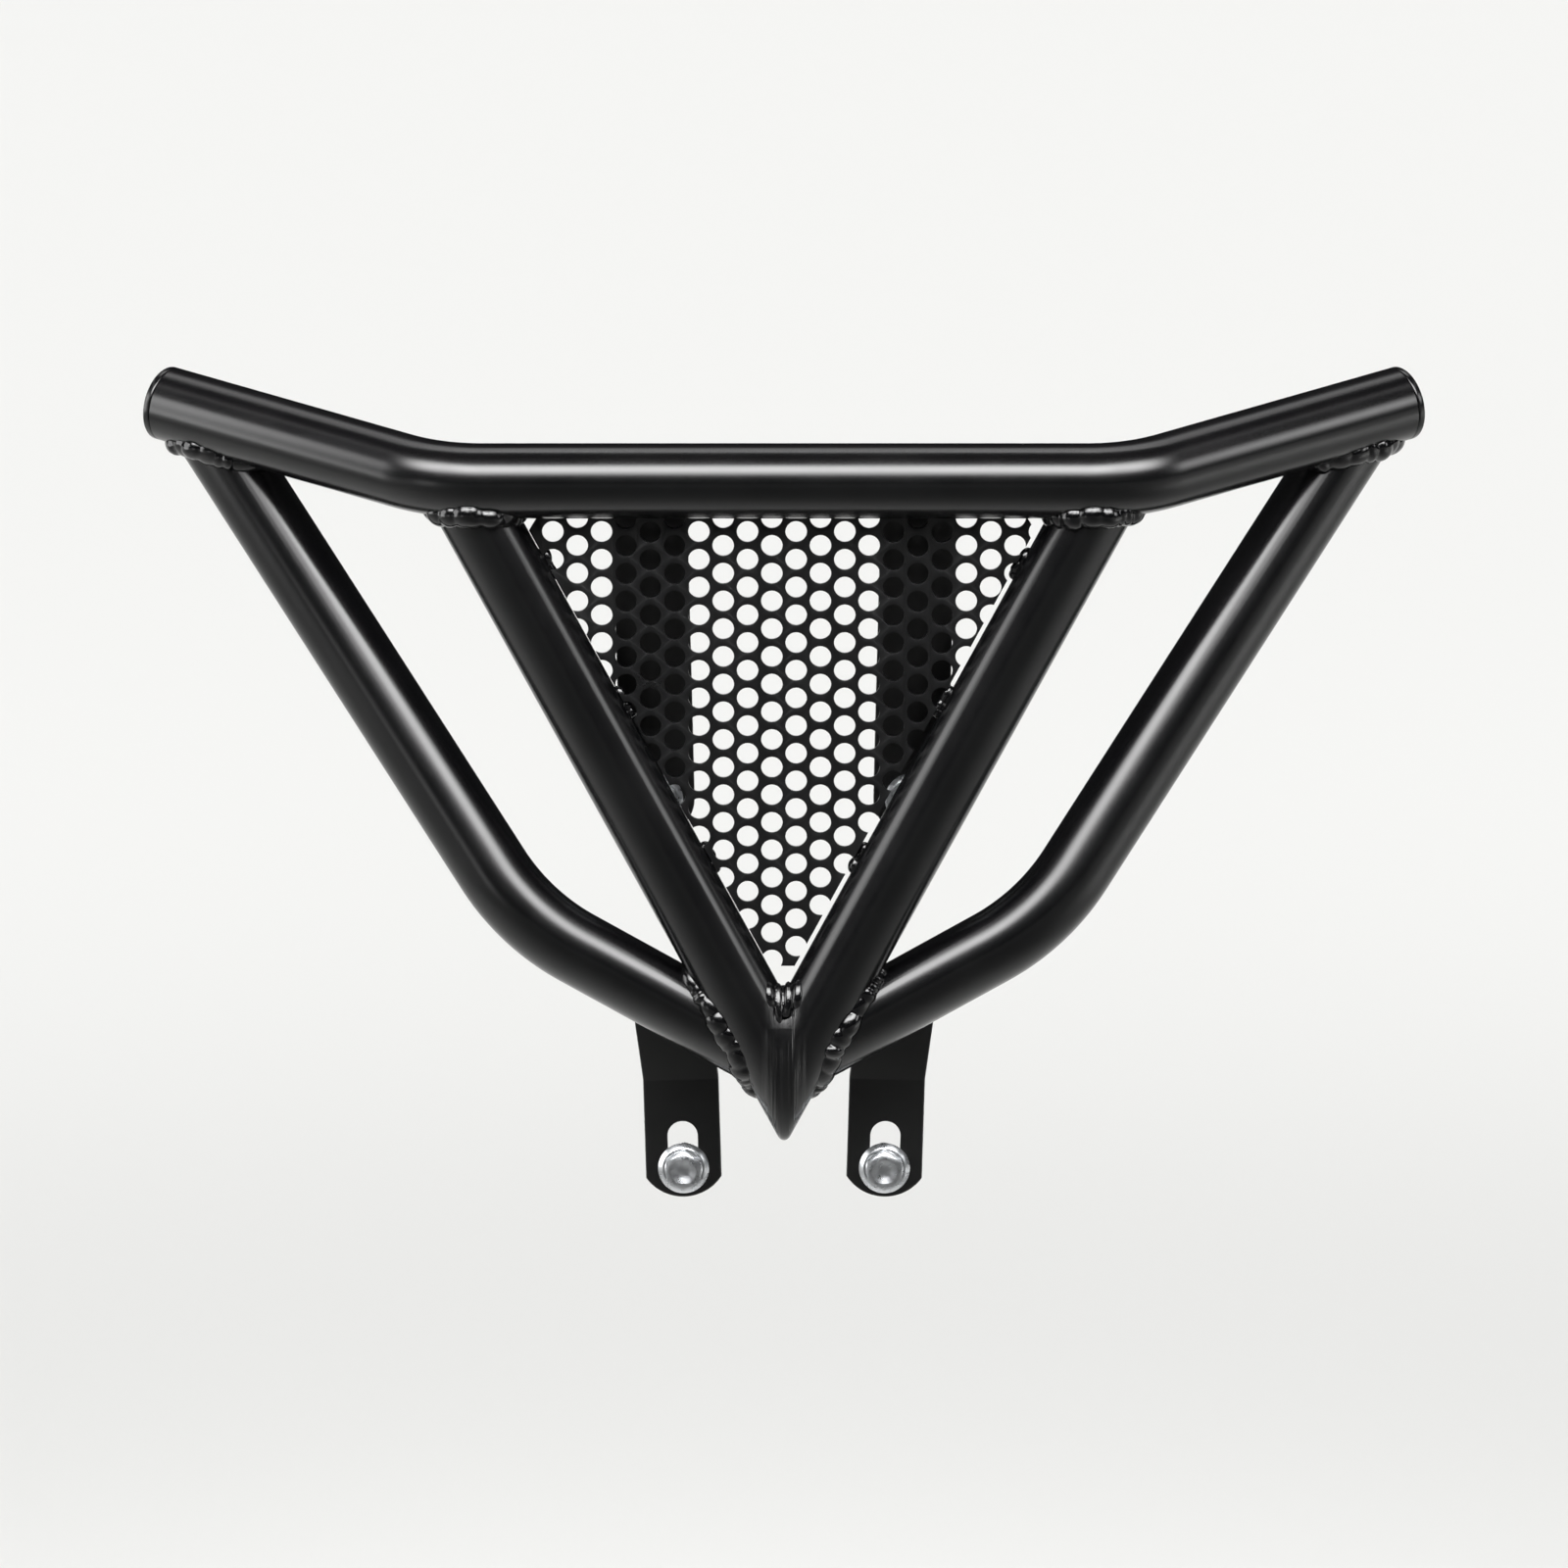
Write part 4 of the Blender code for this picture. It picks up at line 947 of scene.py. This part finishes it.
def make_bolt(seat, name, node_name):
    """Forged head with a dished crown and a sloping flange, on a threaded shank."""
    seat = seat - BACK * SEAT_GAP
    hex_r = HEAD_FLATS / 2 / math.cos(math.radians(30))
    head = rod(hex_r, FLANGE_THICK * 0.5, HEAD_HEIGHT, 6, seat)
    modify(head, "BEVEL", width=0.3 * MM, segments=3, limit_method="ANGLE", angle_limit=math.radians(40))
    chamfer = rod(hex_r + HEAD_HEIGHT * 1.7, -1.0, HEAD_HEIGHT + 0.1, 72, seat, HEAD_FLATS / 2 - CROWN_CHAMFER)
    cut(head, chamfer, "INTERSECT", keep=False)
    dish = rod(DISH_DIA / 2 * 0.62, HEAD_HEIGHT - DISH_DEPTH, HEAD_HEIGHT + 0.3, 56, seat, DISH_DIA / 2 * 1.08)
    cut(head, dish, keep=False)
    flange = rod(FLANGE_R, 0.0, FLANGE_THICK, 72, seat, hex_r + 0.2)
    modify(flange, "BEVEL", width=0.3 * MM, segments=3, limit_method="ANGLE", angle_limit=math.radians(25))
    cut(head, flange, "UNION", keep=False)
    collar = rod(hex_r * 1.04, FLANGE_THICK * 0.6, FLANGE_THICK + 0.7, 72, seat, HEAD_FLATS / 2 * 0.95)
    cut(head, collar, "UNION", keep=False)
    shank = threaded_shank(seat)
    cut(head, shank, "UNION", keep=False)
    modify(head, "BEVEL", width=0.1 * MM, segments=2, limit_method="ANGLE", angle_limit=math.radians(40))
    smooth(head, 40)
    finished(head, name, BOLT_ZINC, "zinc_plate", node_name)


def make_bolts():
    """One bolt in each tab and each strap, its flange 0.3 mm off the bar."""
    front = (TUBE_R + 0.3) / math.cos(STRAP_LEAN) + STRAP_BEND_DROP * math.tan(STRAP_LEAN)
    for side, word in SIDES:
        make_bolt(Vector((side * TAB_X, TAB_FRONT, -BOLT_DROP)), "flange_bolt_lower_" + word, "lower_bolt_" + word)
        turn = Matrix.Rotation(side * STRAP_TILT, 3, "Y")
        seat = Vector((side * STRAP_TOP_X, 0, 0)) + turn @ Vector((0, front, -STRAP_HOLE_DROP))
        make_bolt(seat, "flange_bolt_upper_" + word, "upper_bolt_" + word)


# Light, floor and camera
def set_stage():
    """Large sheet of pale paper on the ground, well below the bumper."""
    nothing_selected()
    bpy.ops.mesh.primitive_plane_add(size=FLOOR_SIZE, location=(0, 0, FLOOR))
    floor = fixed(bpy.context.object)
    floor.name = "paper_floor"
    floor.data.materials.append(plain_paper("pale paper", "#e9e9e7"))
    world = bpy.data.worlds.new("plain room")
    bpy.context.scene.world = world
    world.use_nodes = True
    world.node_tree.nodes["Background"].inputs["Color"].default_value = linear("#eef1f4")
    world.node_tree.nodes["Background"].inputs["Strength"].default_value = 0.03


def softbox(name, azimuth, height_angle, distance, wide, tall, radiance, spread=180):
    """Rectangular lamp facing the bumper; azimuth is from straight ahead toward +X, in degrees."""
    turn, rise = math.radians(azimuth), math.radians(height_angle)
    way = Vector((math.sin(turn) * math.cos(rise), -math.cos(turn) * math.cos(rise), math.sin(rise)))
    lamp(name, LAMP_AIM + way * distance, LAMP_AIM, wide, tall, radiance, spread)


def lamp(name, spot, aim, wide, tall, radiance, spread=180):
    """Rectangular lamp at a spot in metres, turned to its aim."""
    data = bpy.data.lights.new(name, "AREA")
    data.shape = "RECTANGLE"
    data.size = wide
    data.size_y = tall
    data.energy = radiance * math.pi * wide * tall
    data.spread = math.radians(spread)
    made = bpy.data.objects.new(name, data)
    made.location = spot
    made.rotation_euler = (Vector(aim) - Vector(spot)).to_track_quat("-Z", "Y").to_euler()
    bpy.context.scene.collection.objects.link(made)


def set_lights():
    """Large softboxes ahead and above, one at the left and a narrow one for each arm; the floor is
    washed by lamps of its own, which shine straight down and stay away from the bumper."""
    for azimuth in (-31, 0, 31):
        softbox("key softbox", azimuth, 43, 1.6, 0.95, 0.85, 0.72, 44)
    softbox("left softbox", -84, 10, 1.4, 0.9, 1.0, 3.2)
    for side, name, radiance in ((1, "right arm softbox", 0.15), (-1, "left arm softbox", 0.06)):
        lamp(name, (1.34 * side, -0.6, 0.66), (0.24 * side, 0.02, 0.25), 0.34, 0.8, radiance, 30)
    for name, spot, wide, deep, radiance in (
            ("floor light behind", (0, 8.0, 3.2), 20.0, 13.0, 1.1),
            ("floor light left", (-6.0, 0, 3.2), 8.0, 6.0, 0.8),
            ("floor light right", (6.0, 0, 3.2), 8.0, 6.0, 0.8),
            ("floor light ahead", (0, -8.0, 3.2), 20.0, 9.0, 0.2)):
        lamp(name, spot, (spot[0], spot[1], -1), wide, deep, radiance, 80)
    lamp("floor light below", (0, 1.0, 2.2), (0, 1.0, FLOOR), 1.4, 0.9, 0.9, 56)
    lamp("floor light beside", (2.2, -0.4, 1.2), (2.0, -0.4, FLOOR), 1.0, 1.2, 1.6, 50)
    softbox("low fill left", -38, -4, 1.5, 0.3, 0.3, 1.0)


def set_camera():
    """Long lens straight ahead of the bumper and a little above it."""
    data = bpy.data.cameras.new("front view")
    data.sensor_width = 36.0
    data.angle = math.radians(CAMERA_ANGLE)
    camera = bpy.data.objects.new("front view", data)
    rise = math.radians(CAMERA_RISE)
    camera.location = CAMERA_AIM + Vector((0, -math.cos(rise), math.sin(rise))) * CAMERA_DISTANCE
    camera.rotation_euler = (CAMERA_AIM - camera.location).to_track_quat("-Z", "Y").to_euler()
    bpy.context.scene.collection.objects.link(camera)
    bpy.context.scene.camera = camera
    bpy.context.scene.view_settings.view_transform = "Standard"


seams = make_tubes()
make_welds(seams)
make_caps()
make_panel()
make_straps()
make_tabs()
make_bolts()
set_stage()
set_lights()
set_camera()
